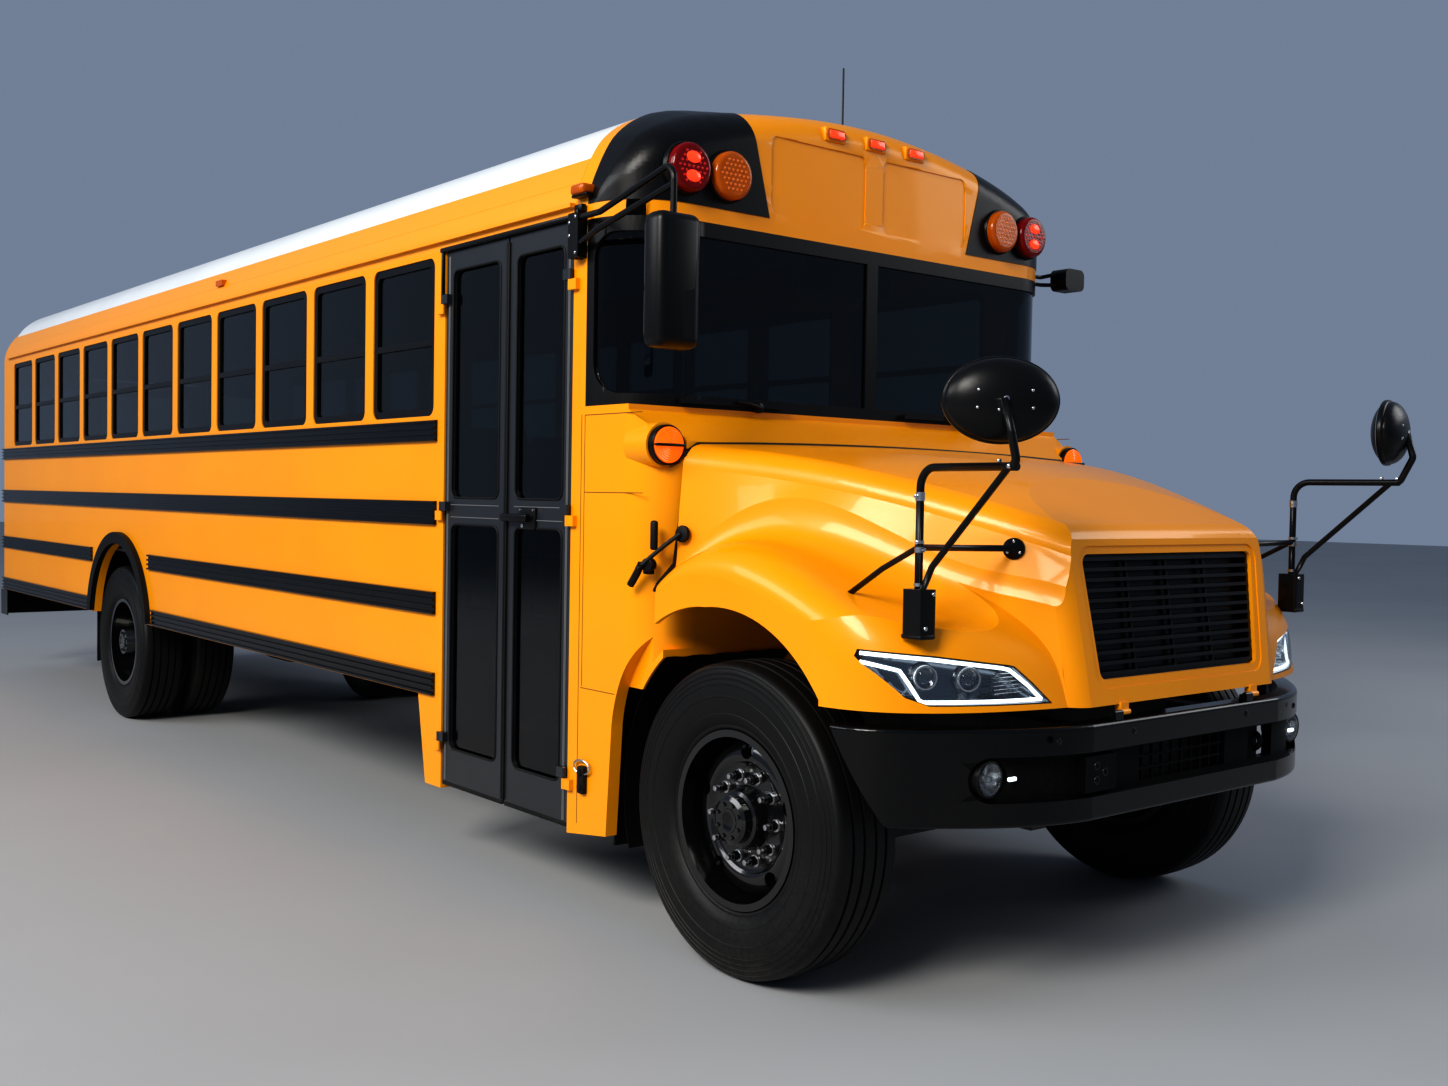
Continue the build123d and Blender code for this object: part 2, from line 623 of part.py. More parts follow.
# Fuel tank between the rails and the exhaust beside it
TANK_Y0 = WHEELBASE + 1260
TANK_LONG = 1100
TANK_TOP = FRAME_Z + FRAME_H - 30
tank = box(-web_x + 90, web_x - 90, TANK_Y0, TANK_Y0 + TANK_LONG, TANK_TOP - 420, TANK_TOP)
tank = fillet(tank.edges().filter_by(Axis.Y), 60)
for strap_y in (TANK_Y0 + 200, TANK_Y0 + TANK_LONG - 260):
    tank += box(-web_x, web_x, strap_y, strap_y + 60, TANK_TOP - 70, TANK_TOP - 20)
keep("fuel_tank", tank)
EXHAUST_R = 50
exhaust = rod_y(560, 2400, 5000, 640, EXHAUST_R)
exhaust += rod_y(560, 3200, 4300, 640, 130)
exhaust += box(FRAME_X, 560, 2700, 2740, 630, 660) + box(FRAME_X, 560, 4700, 4740, 630, 660)
keep("exhaust", exhaust)

# Rub rails along both sides
RUB_TABLE = [
    # low z, high z, gap at the wheel arch (start, end)
    (1816, 1909, None),
    (1452, 1557, None),
    (1061, 1161, (REAR_ARCH_Y - 631, REAR_ARCH_Y + 634)),
    (706, 806, (REAR_ARCH_Y - 696, REAR_ARCH_Y + 701)),
]
RUB_Y0 = 1985
RUB_Y1 = 9815


def rub_section(z0, z1):
    step = (z1 - z0) / 7
    points = [(HALF_W, z0)]
    for rib in range(4):
        low = z0 + rib * 2 * step
        points += [(HALF_W + RAIL_PROUD, low + 2), (HALF_W + RAIL_PROUD, low + step - 2)]
        if rib < 3:
            points += [(HALF_W + 6, low + step), (HALF_W + 6, low + 2 * step)]
    points += [(HALF_W, z1)]
    return polygon(points)


rub_pieces = []
for z0, z1, gap in RUB_TABLE:
    spans = [(RUB_Y0, RUB_Y1)] if gap is None else [(RUB_Y0, gap[0]), (gap[1], RUB_Y1)]
    for y0, y1 in spans:
        rub_pieces += both(along_y(rub_section(z0, z1), y0, y1))
keep("rub_rails", solids(*rub_pieces))

# Rear arch flares and the four mud flaps
FLARE_OUT = 34
flare = Pos(REAR_ARCH_Y, REAR_ARCH_Z) * (Circle(REAR_ARCH_R + FLARE_W) - Circle(REAR_ARCH_R))
flare &= Pos(REAR_ARCH_Y, 1200) * Rectangle(3000, 2 * (1200 - SKIRT_Z - 10))
flares = both(along_x(flare, HALF_W, HALF_W + FLARE_OUT))
FLAP_T = 10
FLAP_BACK = 632
rear_flap_y = WHEELBASE + FLAP_BACK
rear_flap = box(600, inner_w - 1, rear_flap_y, rear_flap_y + FLAP_T, 330, FLOOR_TOP - FLOOR_T)
front_flap = box(inner_w - 309, inner_w - 9, 690, 690 + FLAP_T, 300, FLOOR_TOP - FLOOR_T)
keep("arch_rubber", solids(*flares, *both(rear_flap), *both(front_flap)))


# Front bumper: one wrapped pressing with rolled edges and a sunk channel
def front_plan(grow, flat_half, tip_y, end_y):
    """Plan of the nose sweep as (x, y): flat middle and long round corners."""
    side = HALF_W + grow
    start = (flat_half, tip_y - grow)
    turn = (1052 + 0.7 * grow, -722 - 0.7 * grow)
    right = [
        Line((0, tip_y - grow), start),
        Spline(start, turn, (side, end_y), tangents=[(1, 0.1), (0, 1)]),
        Line((side, end_y), (side, 500)),
        Line((side, 500), (0, 500)),
        Line((0, 500), (0, tip_y - grow)),
    ]
    return mirrored(make_face(right))


BUMPER_TIP = -957
BUMPER_END = -440
BUMPER_FLAT = 540
BUMPER_ROLL = 14
CHANNEL_Z0 = 694
CHANNEL_Z1 = 832
CHANNEL_HALF = 940
CHANNEL_DEEP = 34
bumper = along_z(front_plan(0, BUMPER_FLAT, BUMPER_TIP, BUMPER_END), BUMPER_Z0, BUMPER_Z1)
rolled = [
    edge for edge in bumper.edges()
    if abs((edge @ 0.5).Z - (edge @ 0).Z) < 1 and edge.bounding_box().min.Y < BUMPER_END - 1
    and edge.bounding_box().max.Y < BUMPER_END + 1
]
bumper = bumper.fillet(BUMPER_ROLL, rolled)
channel_mid = (CHANNEL_Z0 + CHANNEL_Z1) / 2
channel = Pos(0, channel_mid) * RectangleRounded(2 * CHANNEL_HALF, CHANNEL_Z1 - CHANNEL_Z0, 66)
channel = along_y(channel, -1100, -500)
bumper -= channel - along_z(front_plan(-CHANNEL_DEEP, BUMPER_FLAT, BUMPER_TIP, BUMPER_END), 0, 2000)
bumper -= along_z(front_plan(-BUMPER_T, BUMPER_FLAT, BUMPER_TIP, BUMPER_END), 0, 2000)
bumper -= along_x(polygon([
    (-470, 1000), (-490, BUMPER_Z1), (-655, BUMPER_Z0), (-655, 500), (600, 500), (600, 1000),
]), -2000, 2000)
FOG_X = 869
FOG_Z = 764
FOG_R = 56
FOG_GAP = 4
BOX_HALF_Z = 56
MESH_HALF = 250
HOOK_BOX = (400, 560)
bumper -= box(-MESH_HALF, MESH_HALF, -1200, -700, channel_mid - BOX_HALF_Z, channel_mid + BOX_HALF_Z)
bumper -= box(*HOOK_BOX, -1200, -700, channel_mid - BOX_HALF_Z, channel_mid + BOX_HALF_Z)
mesh_y = BUMPER_TIP + CHANNEL_DEEP + 6
MESH_BARS = 9
for bar in range(MESH_BARS):
    x = (bar - (MESH_BARS - 1) / 2) * 2 * MESH_HALF / MESH_BARS
    bumper += box(x - 4, x + 4, mesh_y, mesh_y + 8, channel_mid - BOX_HALF_Z, channel_mid + BOX_HALF_Z)
for z in (channel_mid - 20, channel_mid + 20):
    bumper += box(-MESH_HALF, MESH_HALF, mesh_y, mesh_y + 8, z - 4, z + 4)
TOW_PLATE = (-572, -412)
bumper += box(*TOW_PLATE, BUMPER_TIP + 6, mesh_y, channel_mid - BOX_HALF_Z, channel_mid + BOX_HALF_Z)
for side in (-1, 1):
    bumper -= rod_y(side * FOG_X, -1200, -600, FOG_Z, FOG_R + FOG_GAP)
    bumper += box(side * FRAME_X - 60, side * FRAME_X + 60, FRAME_Y0 - 55, FRAME_Y0, 640, 860)
    bumper += Pos(side * 478, FRAME_Y0 - 45, channel_mid) * Rot(0, 90, 0) * Torus(30, 9)
keep("front_bumper", bumper)
fog_y = -828
fog = rod_y(FOG_X, fog_y, fog_y + 90, FOG_Z, FOG_R)
STALK_HALF = 12
stalk_low = FOG_Z - math.sqrt((FOG_R + FOG_GAP) ** 2 - STALK_HALF ** 2) + SEAT_GAP
fog += box(FOG_X - STALK_HALF, FOG_X + STALK_HALF, fog_y + 40, fog_y + 60, stalk_low, FOG_Z)
keep("fog_lamps", solids(*both(fog)))
rear_bumper = along_z(polygon([
    (-HALF_W, REAR_CAP_START + 60), (-HALF_W, REAR_BUMPER_Y - 40), (-HALF_W + 40, REAR_BUMPER_Y),
    (HALF_W - 40, REAR_BUMPER_Y), (HALF_W, REAR_BUMPER_Y - 40), (HALF_W, REAR_CAP_START + 60),
    (HALF_W - 8, REAR_CAP_START + 60), (HALF_W - 8, REAR_FACE + 8), (-HALF_W + 8, REAR_FACE + 8),
    (-HALF_W + 8, REAR_CAP_START + 60),
]), 480, SKIRT_Z - 6)
for side in (-1, 1):
    x0 = side * FRAME_X - 60
    rear_bumper += box(x0, x0 + 120, FRAME_Y1, REAR_FACE + 40, FRAME_Z, SKIRT_Z - 20)
keep("rear_bumper", rear_bumper)

# Hood: one moulding, lofted through whole sections with fender, hollow, side and crown
HOOD_REAR = COWL_Y - HOOD_GAP
HOOD_HALF_REAR = HALF_W - 82
HOOD_TAPER = 0.442
HOOD_LEAN = 32
HOOD_SHOULDER = 85
HOOD_SKIRT = HOOD_BOTTOM - 65
HOOD_TABLE = [
    # y, fender ridge z, shoulder top z, centre z
    (HOOD_REAR, 1296, 1782, 1800),
    (200, 1412, 1762, 1790),
    (0, 1445, 1735, 1770),
    (-300, 1362, 1675, 1718),
    (-620, 1232, 1590, 1636),
    (-1000, 1100, 1462, 1506),
]


def other_side(point):
    return (-point[0], point[1])


def half_at(y):
    """Half width of the hood above its fenders, which narrows towards the nose."""
    return HOOD_HALF_REAR - (HOOD_REAR - y) * HOOD_TAPER


def hood_section(y, ridge, top, centre, inset):
    span = HALF_W - half_at(y)
    lip = min(120, 0.5 * span) - 0.4 * inset
    hollow = min(240, 0.42 * span) + 0.4 * inset
    rise = min(150, 0.6 * span + 10)
    side = HALF_W - inset
    low_half = half_at(y) - inset
    high_half = low_half - HOOD_LEAN
    ridge_z = ridge - inset
    top_z = top - inset
    foot = (side, HOOD_SKIRT)
    lip_low = (side, ridge_z - lip)
    lip_mid = (side - 0.293 * lip, ridge_z - 0.293 * lip)
    lip_high = (side - lip, ridge_z)
    hollow_low = (low_half + hollow, ridge_z + 2)
    hollow_high = (low_half - 4, ridge_z + rise)
    turn_low = (high_half, top_z - HOOD_SHOULDER)
    turn_mid = (high_half - 0.293 * HOOD_SHOULDER, top_z - 0.293 * HOOD_SHOULDER)
    turn_high = (high_half - HOOD_SHOULDER, top_z)
    outline = [
        Line((0, HOOD_SKIRT), foot),
        Line(foot, lip_low),
        ThreePointArc(lip_low, lip_mid, lip_high),
        Line(lip_high, hollow_low),
        Spline(hollow_low, hollow_high, tangents=[(-1, 0), (-0.08, 1)]),
        Line(hollow_high, turn_low),
        ThreePointArc(turn_low, turn_mid, turn_high),
        ThreePointArc(turn_high, (0, centre - inset), other_side(turn_high)),
        Line(other_side(turn_high), (-turn_high[0], HOOD_SKIRT)),
        Line((-turn_high[0], HOOD_SKIRT), (0, HOOD_SKIRT)),
    ]
    return Plane(origin=(0, y, 0), x_dir=(1, 0, 0), z_dir=(0, -1, 0)) * make_face(outline)


# Plan of the nose and the lamp faces, which lie further back with height
NOSE_RUN = math.tan(math.radians(NOSE_LEAN))
NOSE_EDGE = 42
NOSE_TOP = 1530
NOSE_TOP_ROUND = 70
NOSE_SIDE = 12
WRAP_TABLE = [
    # z, set back of the lamp face
    (HOOD_SKIRT, 3),
    (1010, 6),
    (1090, 18),
    (1150, 42),
    (1205, 85),
    (1265, 160),
    (1340, 280),
    (1460, 480),
]
WRAP_TURN = (1055, -728)
WRAP_END = -400


def nose_y(z):
    return NOSE_BOTTOM_Y + NOSE_RUN * (z - HOOD_BOTTOM)


def wrap_plan(z, back, inset):
    tip = nose_y(z) + inset
    turn = NOSE_EDGE - 0.5 * inset
    corner = half_at(tip) + NOSE_SIDE - inset
    lamp_y = nose_y(z) + NOSE_EDGE + inset + back
    edge = (corner - turn, tip)
    edge_mid = (corner - 0.27 * turn, tip + 0.27 * turn)
    edge_end = (half_at(tip + turn) + NOSE_SIDE - inset, tip + turn)
    lamp_start = (half_at(lamp_y) + NOSE_SIDE - inset, lamp_y)
    lamp_turn = (WRAP_TURN[0] - 0.7 * inset, WRAP_TURN[1] + 0.7 * inset + 0.8 * back)
    lamp_end = (HALF_W - inset, WRAP_END + 0.3 * inset + 0.35 * back)
    outline = [
        Line((0, tip), edge),
        ThreePointArc(edge, edge_mid, edge_end),
        Line(edge_end, lamp_start),
        Spline(lamp_start, lamp_turn, lamp_end, tangents=[(1, 0.16), (0, 1)]),
        Line(lamp_end, (HALF_W - inset, 500)),
        Line((HALF_W - inset, 500), (0, 500)),
        Line((0, 500), (0, tip)),
    ]
    return Pos(0, 0, z) * make_face(outline)


def nose_brow(inset):
    """Side view that rounds the top of the nose, as (y, z)."""
    top = NOSE_TOP - inset
    r = NOSE_TOP_ROUND - 0.5 * inset
    y_top = nose_y(top) + inset - 5
    rear = 600
    rear_z = top + 0.42 * (rear - y_top)
    low = (nose_y(HOOD_SKIRT) + inset - 20, HOOD_SKIRT)
    turn_low = (y_top - NOSE_RUN * r, top - r)
    turn_mid = (y_top + 0.29 * r, top - 0.27 * r)
    turn_high = (y_top + r, top + 0.1 * r)
    face = [
        Line(low, turn_low),
        ThreePointArc(turn_low, turn_mid, turn_high),
        Line(turn_high, (rear, rear_z)),
        Line((rear, rear_z), (rear, HOOD_SKIRT)),
        Line((rear, HOOD_SKIRT), low),
    ]
    return along_x(make_face(face), 0, HALF_W + 1)


def hood_half(inset, base):
    """The driver's side half of the hood as a filled form."""
    form = loft([hood_section(*row, inset) for row in HOOD_TABLE])
    wrap = loft([wrap_plan(z, back, inset) for z, back in WRAP_TABLE])
    wrap_top = wrap_plan(*WRAP_TABLE[-1], inset)
    wrap += extrude(wrap_top, 500, dir=(0, NOSE_RUN, 1))
    form = form & wrap & nose_brow(inset)
    return form & box(0, HALF_W + 1, -1300, HOOD_REAR, base, 2000)


GRILLE_TABLE = [
    # half width, z
    (494, 1434),
    (454, 1042),
]
GRILLE_R = 30


def grille_face(grow):
    (top_w, top_z), (low_w, low_z) = GRILLE_TABLE
    face = polygon([
        (-low_w - grow, low_z - grow), (low_w + grow, low_z - grow),
        (top_w + grow, top_z + grow), (-top_w - grow, top_z + grow),
    ])
    return fillet(face.vertices(), GRILLE_R + grow)


def nose_half(offset):
    """Everything in front of the leaning nose plane, moved back by offset."""
    top = 2200
    y0 = NOSE_BOTTOM_Y + offset
    face = polygon([(y0, HOOD_BOTTOM), (nose_y(top) + offset, top), (-3000, top), (-3000, 0), (y0, 0)])
    return along_x(face, -3000, 3000)


def leaning(face, depth0, depth1):
    """A front-view face turned into a slab that leans with the nose."""
    return along_y(face, -1200, 0) & (nose_half(depth1) - nose_half(depth0))


BEZEL_W = 26
BEZEL_SUNK = 5
hood_outer = hood_half(0, HOOD_BOTTOM)
hood_shell = hood_outer - hood_half(HOOD_T, HOOD_SKIRT)
hood_side = hood_shell - along_x(arch_face(), 640, HALF_W + 1)
LAMP_OUTLINE = [
    # x, z round the lamp glass
    (1178, 1148), (1184, 1128), (1174, 1104), (1097, 1010), (1039, 985),
    (640, 981), (699, 1041), (760, 1096), (777, 1100), (1011, 1132),
]
LAMP_SUNK = 4


def lamp_prism(grow):
    face = polygon(LAMP_OUTLINE)
    face = offset(face, amount=grow) if grow else face
    return along_y(face, -1000, -450)


hood_side -= lamp_prism(SEAT_GAP)
hood = hood_side + mirror(hood_side, about=Plane.YZ)
hood -= along_y(grille_face(0), -1100, -700) + leaning(grille_face(BEZEL_W), -100, BEZEL_SUNK)
keep("hood", hood)

# Grille: frame and slats in front of a dark core
SLAT_COUNT = 12
SLAT_H = 12
FRAME_BACK = HOOD_T + 34
grille = leaning(grille_face(18) - grille_face(-14), HOOD_T, FRAME_BACK)
grille += leaning(grille_face(18), FRAME_BACK, FRAME_BACK + 8)
(top_w, top_z), (low_w, low_z) = GRILLE_TABLE
for slat in range(SLAT_COUNT):
    share = (slat + 0.5) / SLAT_COUNT
    z = low_z + share * (top_z - low_z)
    half = low_w + share * (top_w - low_w) - 8
    grille += leaning(Pos(0, z) * Rectangle(2 * half, SLAT_H), HOOD_T - 4, HOOD_T + 16)
for x in (-225, 0, 225):
    grille += leaning(Pos(x, (low_z + top_z) / 2) * Rectangle(10, top_z - low_z), HOOD_T + 12, HOOD_T + 24)
keep("grille", grille)

# Headlamps: glass that fills the lamp opening, just under the skin
lamp_skin = (hood_half(LAMP_SUNK, HOOD_BOTTOM) - hood_half(HOOD_T, HOOD_SKIRT)) & lamp_prism(0)
keep("headlamps", solids(*both(lamp_skin)))

# Crossover mirrors: tube frames on the fenders, each oval head turned to the driver
POST_X = 1066
POST_Y = -705
POST_BASE_Z = 1190
POST_BASE_TOP = 1332
POST_TOP = 1690
STRUT_Z = 1455
ELBOW = (1108, -1095)
MIRROR_X = 1084
MIRROR_Z = 1874
MIRROR_HALF_W = 165
MIRROR_HALF_H = 122
MIRROR_RIM = 22
DOME_DEEP = 62
TUBE_R = 12
MIRROR_TURN = {-1: 38, 1: 15}
PAD_R = 34
PAD_T = 14


def oval_dome(half_w, half_h, deep):
    return scale(Sphere(1), by=(half_w, half_h, deep))


def mirror_head():
    """Oval head with its glass towards +Z and the domed back towards -Z."""
    rim = extrude(Ellipse(MIRROR_HALF_W, MIRROR_HALF_H), MIRROR_RIM)
    rim = fillet(rim.edges(), 7)
    head = rim + oval_dome(MIRROR_HALF_W - 6, MIRROR_HALF_H - 6, DOME_DEEP)
    return head


def mirror_frame(apex):
    """Post, arm, brace, strut and foot of one side, drawn at +X."""
    elbow = (*ELBOW, POST_TOP)
    joint = (POST_X, POST_Y, STRUT_Z)
    arm = tube_path([(POST_X, POST_Y, POST_BASE_TOP), (POST_X, POST_Y, POST_TOP), elbow], 60, TUBE_R)
    rise = (apex[0], apex[1] - 26, (POST_TOP + apex[2]) / 2)
    hook = tube_path([(ELBOW[0] - 4, ELBOW[1] + 60, POST_TOP), elbow, rise, apex], 24, TUBE_R)
    brace = tube_path([(ELBOW[0] - 3, ELBOW[1] + 30, POST_TOP), (POST_X, POST_Y - 52, 1400),
                       (POST_X, POST_Y - 12, POST_BASE_TOP - 12)], 20, TUBE_R - 2)
    strut = tube_path([(POST_X + 5, POST_Y, STRUT_Z), (850, POST_Y, STRUT_Z - 4), (560, POST_Y, STRUT_Z - 8)],
                      30, TUBE_R - 2)
    hood_turn = math.degrees(math.atan(HOOD_TAPER))
    pad_at = Pos(half_at(POST_Y) - 26, POST_Y, STRUT_Z - 8) * Rot(0, 0, -hood_turn) * Rot(0, 90, 0)
    pad = pad_at * Cylinder(PAD_R, 2 * PAD_R)
    foot = tube_path([(POST_X, POST_Y + 5, STRUT_Z), (POST_X + 4, -560, 1385), (POST_X + 10, -400, 1285)],
                     20, TUBE_R - 3)
    base = box(POST_X - 38, POST_X + 32, POST_Y - 40, POST_Y + 36, 1100, POST_BASE_TOP)
    base = fillet(base.edges().filter_by(Axis.Z), 10)
    pad &= pad_at * Cylinder(2 * PAD_R, 2 * PAD_T)
    return arm + hook + brace + strut + pad + foot + base


crossovers = []
for side, turn in MIRROR_TURN.items():
    facing = math.radians(turn)
    inward = (-math.sin(facing), math.cos(facing))
    reach_y = MIRROR_HALF_W * math.sin(facing) + DOME_DEEP * math.cos(facing) * 0.6
    head_y = FRONT_TIP + max(reach_y, DOME_DEEP * math.cos(facing)) + 4
    apex = (MIRROR_X - inward[0] * DOME_DEEP, head_y - inward[1] * (DOME_DEEP - 8), MIRROR_Z)
    head = Pos(MIRROR_X, head_y, MIRROR_Z) * Rot(0, 0, turn) * Rot(-90, 0, 0) * mirror_head()
    crossover = mirror_frame(apex) - hood_outer + head
    crossovers.append(crossover if side > 0 else mirror(crossover, about=Plane.YZ))
keep("crossover_mirrors", solids(*crossovers))

# Main mirror on the entrance side and the lamp on the driver's side
arm_x = -MIRROR_REACH + 90
arm_bend = -HALF_W - 81
arm_start = -HALF_W - 21
arm_way = [(arm_start, 870, 2620), (arm_bend, 640, 2600), (arm_x, 130, 2680), (arm_x, 130, 2450)]
arm_top = tube_path(arm_way, 50, 11)
arm_low = tube_path([(arm_start, 870, 2520), (arm_bend, 660, 2540), (arm_x, 130, 2610)], 60, 11)
arm_root = box(-HALF_W - 43, -HALF_W, 840, 905, 2470, 2635)
head = box(-MIRROR_REACH, -MIRROR_REACH + 176, 80, 180, 2075, 2510)
head = fillet(head.edges(), 30)
pod_x = MIRROR_REACH - 140
stalk_in = HALF_W - 60
stalks = tube_path([(stalk_in, 700, 2660), (HALF_W + 40, 700, 2660), (pod_x + 20, 640, 2680)], 20, 9)
stalks += tube_path([(stalk_in, 700, 2625), (HALF_W + 40, 700, 2625), (pod_x + 20, 640, 2625)], 20, 9)
stalks -= panel_form
pod = box(pod_x, MIRROR_REACH, 590, 680, 2600, 2700)
pod = fillet(pod.edges().filter_by(Axis.Y), 30)
keep("side_mirror", solids(arm_top + arm_low + arm_root + head, stalks + pod))

# Lamps
LAMP_R = 90
WARN_Z = 2791
AMBER_X = 780
RED_X = 978
REAR_LAMP_IN = 765
REAR_LAMP_OUT = 965
LAMP_DEPTH = 46


def face_lamp(x, y, z, r, depth, out):
    """Round lamp on a face; out is -1 towards the nose, +1 to the rear."""
    if out < 0:
        lamp = rod_y(x, y - depth, y, z, r)
        rim = lamp.faces().sort_by(Axis.Y)[0].edges()
    else:
        lamp = rod_y(x, y, y + depth, z, r)
        rim = lamp.faces().sort_by(Axis.Y)[-1].edges()
    return fillet(rim, depth * 0.4)


CLEAR_X = [0, 230, -230]
CLEAR_Z = 3040


def clear_lamp(x):
    """Clearance lamp on the brow of the cap."""
    lamp = box(x - 50, x + 50, SCREEN_Y - 14, SCREEN_Y + 60, CLEAR_Z - 20, CLEAR_Z + 22)
    lamp = fillet(lamp.edges().filter_by(Axis.Y), 16)
    return lamp - cap_outer


def warning_lamp(x):
    """Warning lamp whose back follows the lamp panel."""
    back = rod_y(x, SCREEN_Y - PANEL_T, SCREEN_Y + 60, WARN_Z, LAMP_R)
    return face_lamp(x, SCREEN_Y - PANEL_T, WARN_Z, LAMP_R, LAMP_DEPTH, -1) + back - panel_form


amber = both(warning_lamp(AMBER_X))
amber += both(face_lamp(REAR_LAMP_IN, REAR_FACE, WARN_Z - 50, LAMP_R, LAMP_DEPTH, 1))
red = both(warning_lamp(RED_X))
red += both(face_lamp(REAR_LAMP_OUT, REAR_FACE, WARN_Z - 50, LAMP_R, LAMP_DEPTH, 1))
for x in CLEAR_X:
    amber.append(clear_lamp(x))
    red.append(box(x - 45, x + 45, REAR_FACE, REAR_FACE + 22, 2985, 3020))
TURN_X = HALF_W - 66
TURN_Z = 1774
TURN_R = 68
TURN_RIM = 12
TURN_FACE = COWL_Y + 34
turn_lamp = face_lamp(TURN_X, TURN_FACE, TURN_Z, TURN_R, 28, -1)
turn_pocket = rod_y(TURN_X, COWL_Y - 20, TURN_FACE, TURN_Z, TURN_R + TURN_RIM + 2)
turn_housing = rod_y(TURN_X, TURN_FACE, COWL_Y + 170, TURN_Z, TURN_R + TURN_RIM)
nodes["cowl"] = nodes["cowl"] - mirrored(turn_pocket) + mirrored(turn_housing)
amber += both(turn_lamp)
MARKER_Y = 4682
MARKER_Z = SHOULDER_Z + 147
marker = box(HALF_W - 60, HALF_W - 10, MARKER_Y - 50, MARKER_Y + 50, MARKER_Z - 16, MARKER_Z + 16)
amber += both(marker - along_y(roof_face(0, SIDE_TOP), MARKER_Y - 100, MARKER_Y + 100))
red += both(face_lamp(1040, REAR_FACE, 1330, 80, 40, 1))
amber += both(face_lamp(1040, REAR_FACE, 1130, 60, 36, 1))
keep("amber_lamps", solids(*amber))
keep("red_lamps", solids(*red))

# Wipers parked along the foot of the windscreen
WIPER_Z = SCREEN_Z0 + 14


def wiper(x0, x1, pivot_x):
    blade = box(x0, x1, SCREEN_Y - 26, SCREEN_Y - 12, WIPER_Z, WIPER_Z + 16)
    return blade + rod_y(pivot_x, SCREEN_Y - 26, SCREEN_Y, WIPER_Z, 16)


keep("wipers", solids(wiper(-1000, -480, -620), wiper(180, 700, 560)))
keep("antenna", rod_z(0, 760, ROOF_TOP, ROOF_TOP + 270, 4))

# Seats: benches both sides of the aisle and the driver's seat
ROW_COUNT = 11
ROW_FIRST = 2400
ROW_PITCH = 665
BENCH_IN = 190
BENCH_OUT = inner_w - SEAT_GAP
CUSHION_Z = 1290


def bench(y):
    cushion = box(BENCH_IN, BENCH_OUT, y, y + 400, CUSHION_Z, CUSHION_Z + 110)
    back = along_x(polygon([
        (y + 360, CUSHION_Z + 60), (y + 450, CUSHION_Z + 60), (y + 520, 1960), (y + 455, 1960),
    ]), BENCH_IN, BENCH_OUT)
    leg = box(BENCH_IN + 60, BENCH_IN + 95, y + 40, y + 340, FLOOR_TOP, CUSHION_Z)
    return cushion + back + leg


benches = [bench(ROW_FIRST + row * ROW_PITCH) for row in range(ROW_COUNT)]
DRIVER_X = 580
chair = box(DRIVER_X - 250, DRIVER_X + 250, 1300, 1760, 1330, 1450)
chair_back = polygon([(1700, 1400), (1800, 1400), (1890, 2100), (1810, 2100)])
chair += along_x(chair_back, DRIVER_X - 240, DRIVER_X + 240)
chair += box(DRIVER_X - 150, DRIVER_X + 150, 1380, 1680, FLOOR_TOP, 1330)
keep("seats", solids(*benches, *[mirror(b, about=Plane.YZ) for b in benches], chair))

# Dashboard with the steering column and wheel
dash_y = COWL_Y + WALL + SEAT_GAP
dash_side = polygon([(dash_y, 1500), (760, 1500), (800, 1700), (700, 1735), (dash_y, 1735)])
dash = along_x(dash_side, -560, 1000)
column_turn = 50
hub_at = Pos(DRIVER_X, 1010, 1700) * Rot(-column_turn, 0, 0)
dash += hub_at * Pos(0, 0, -200) * Cylinder(30, 400)
dash += hub_at * Torus(215, 16)
dash += hub_at * Rot(0, 90, 0) * Cylinder(14, 430) + hub_at * Rot(90, 0, 0) * Cylinder(14, 430)
keep("dash", dash)

# Knuckles: forked round the axle eye, pin and spindle in one piece
EAR_GAP = 2


def knuckle():
    ears = rod_z(KINGPIN_X, 0, EYE_Z0 - EAR_GAP - 26, EYE_Z0 - EAR_GAP, EYE_R)
    ears += rod_z(KINGPIN_X, 0, EYE_Z1 + EAR_GAP, EYE_Z1 + EAR_GAP + 26, EYE_R)
    low = EYE_Z0 - EAR_GAP - 26
    high = EYE_Z1 + EAR_GAP + 26
    plate_x = KINGPIN_X + EYE_R + 12
    for z0, z1 in ((low, EYE_Z0 - EAR_GAP), (EYE_Z1 + EAR_GAP, high)):
        ears += box(KINGPIN_X, plate_x, -40, 40, z0, z1)
    pin = rod_z(KINGPIN_X, 0, low, high, KINGPIN_R)
    web = box(plate_x, plate_x + 24, -60, 60, low, high)
    spindle = rod_x(plate_x, HUB_FACE + 15, 0, TYRE_R, SPINDLE_R)
    arm = box(KINGPIN_X - 30, KINGPIN_X + 30, 30, 200, low, low + 24)
    return ears + pin + web + spindle + arm


keep("knuckle_left", knuckle())
keep("knuckle_right", mirror(knuckle(), about=Plane.YZ))

# Tyres and wheels
TYRE_X = TYRE_EDGE - TYRE_W / 2
TYRE_OUTLINE = [
    # offset from the tyre's middle, radius
    (-RIM_HALF, RIM_R), (-RIM_HALF, RIM_R + 15), (-128, 336), (-138, 420),
    (-128, 492), (-112, 518), (-60, TYRE_R),
    (60, TYRE_R), (112, 518), (128, 492), (138, 420), (128, 336), (RIM_HALF, RIM_R + 15), (RIM_HALF, RIM_R),
]


def tyre(x, y):
    return turned_x(TYRE_OUTLINE, x, y, TYRE_R)


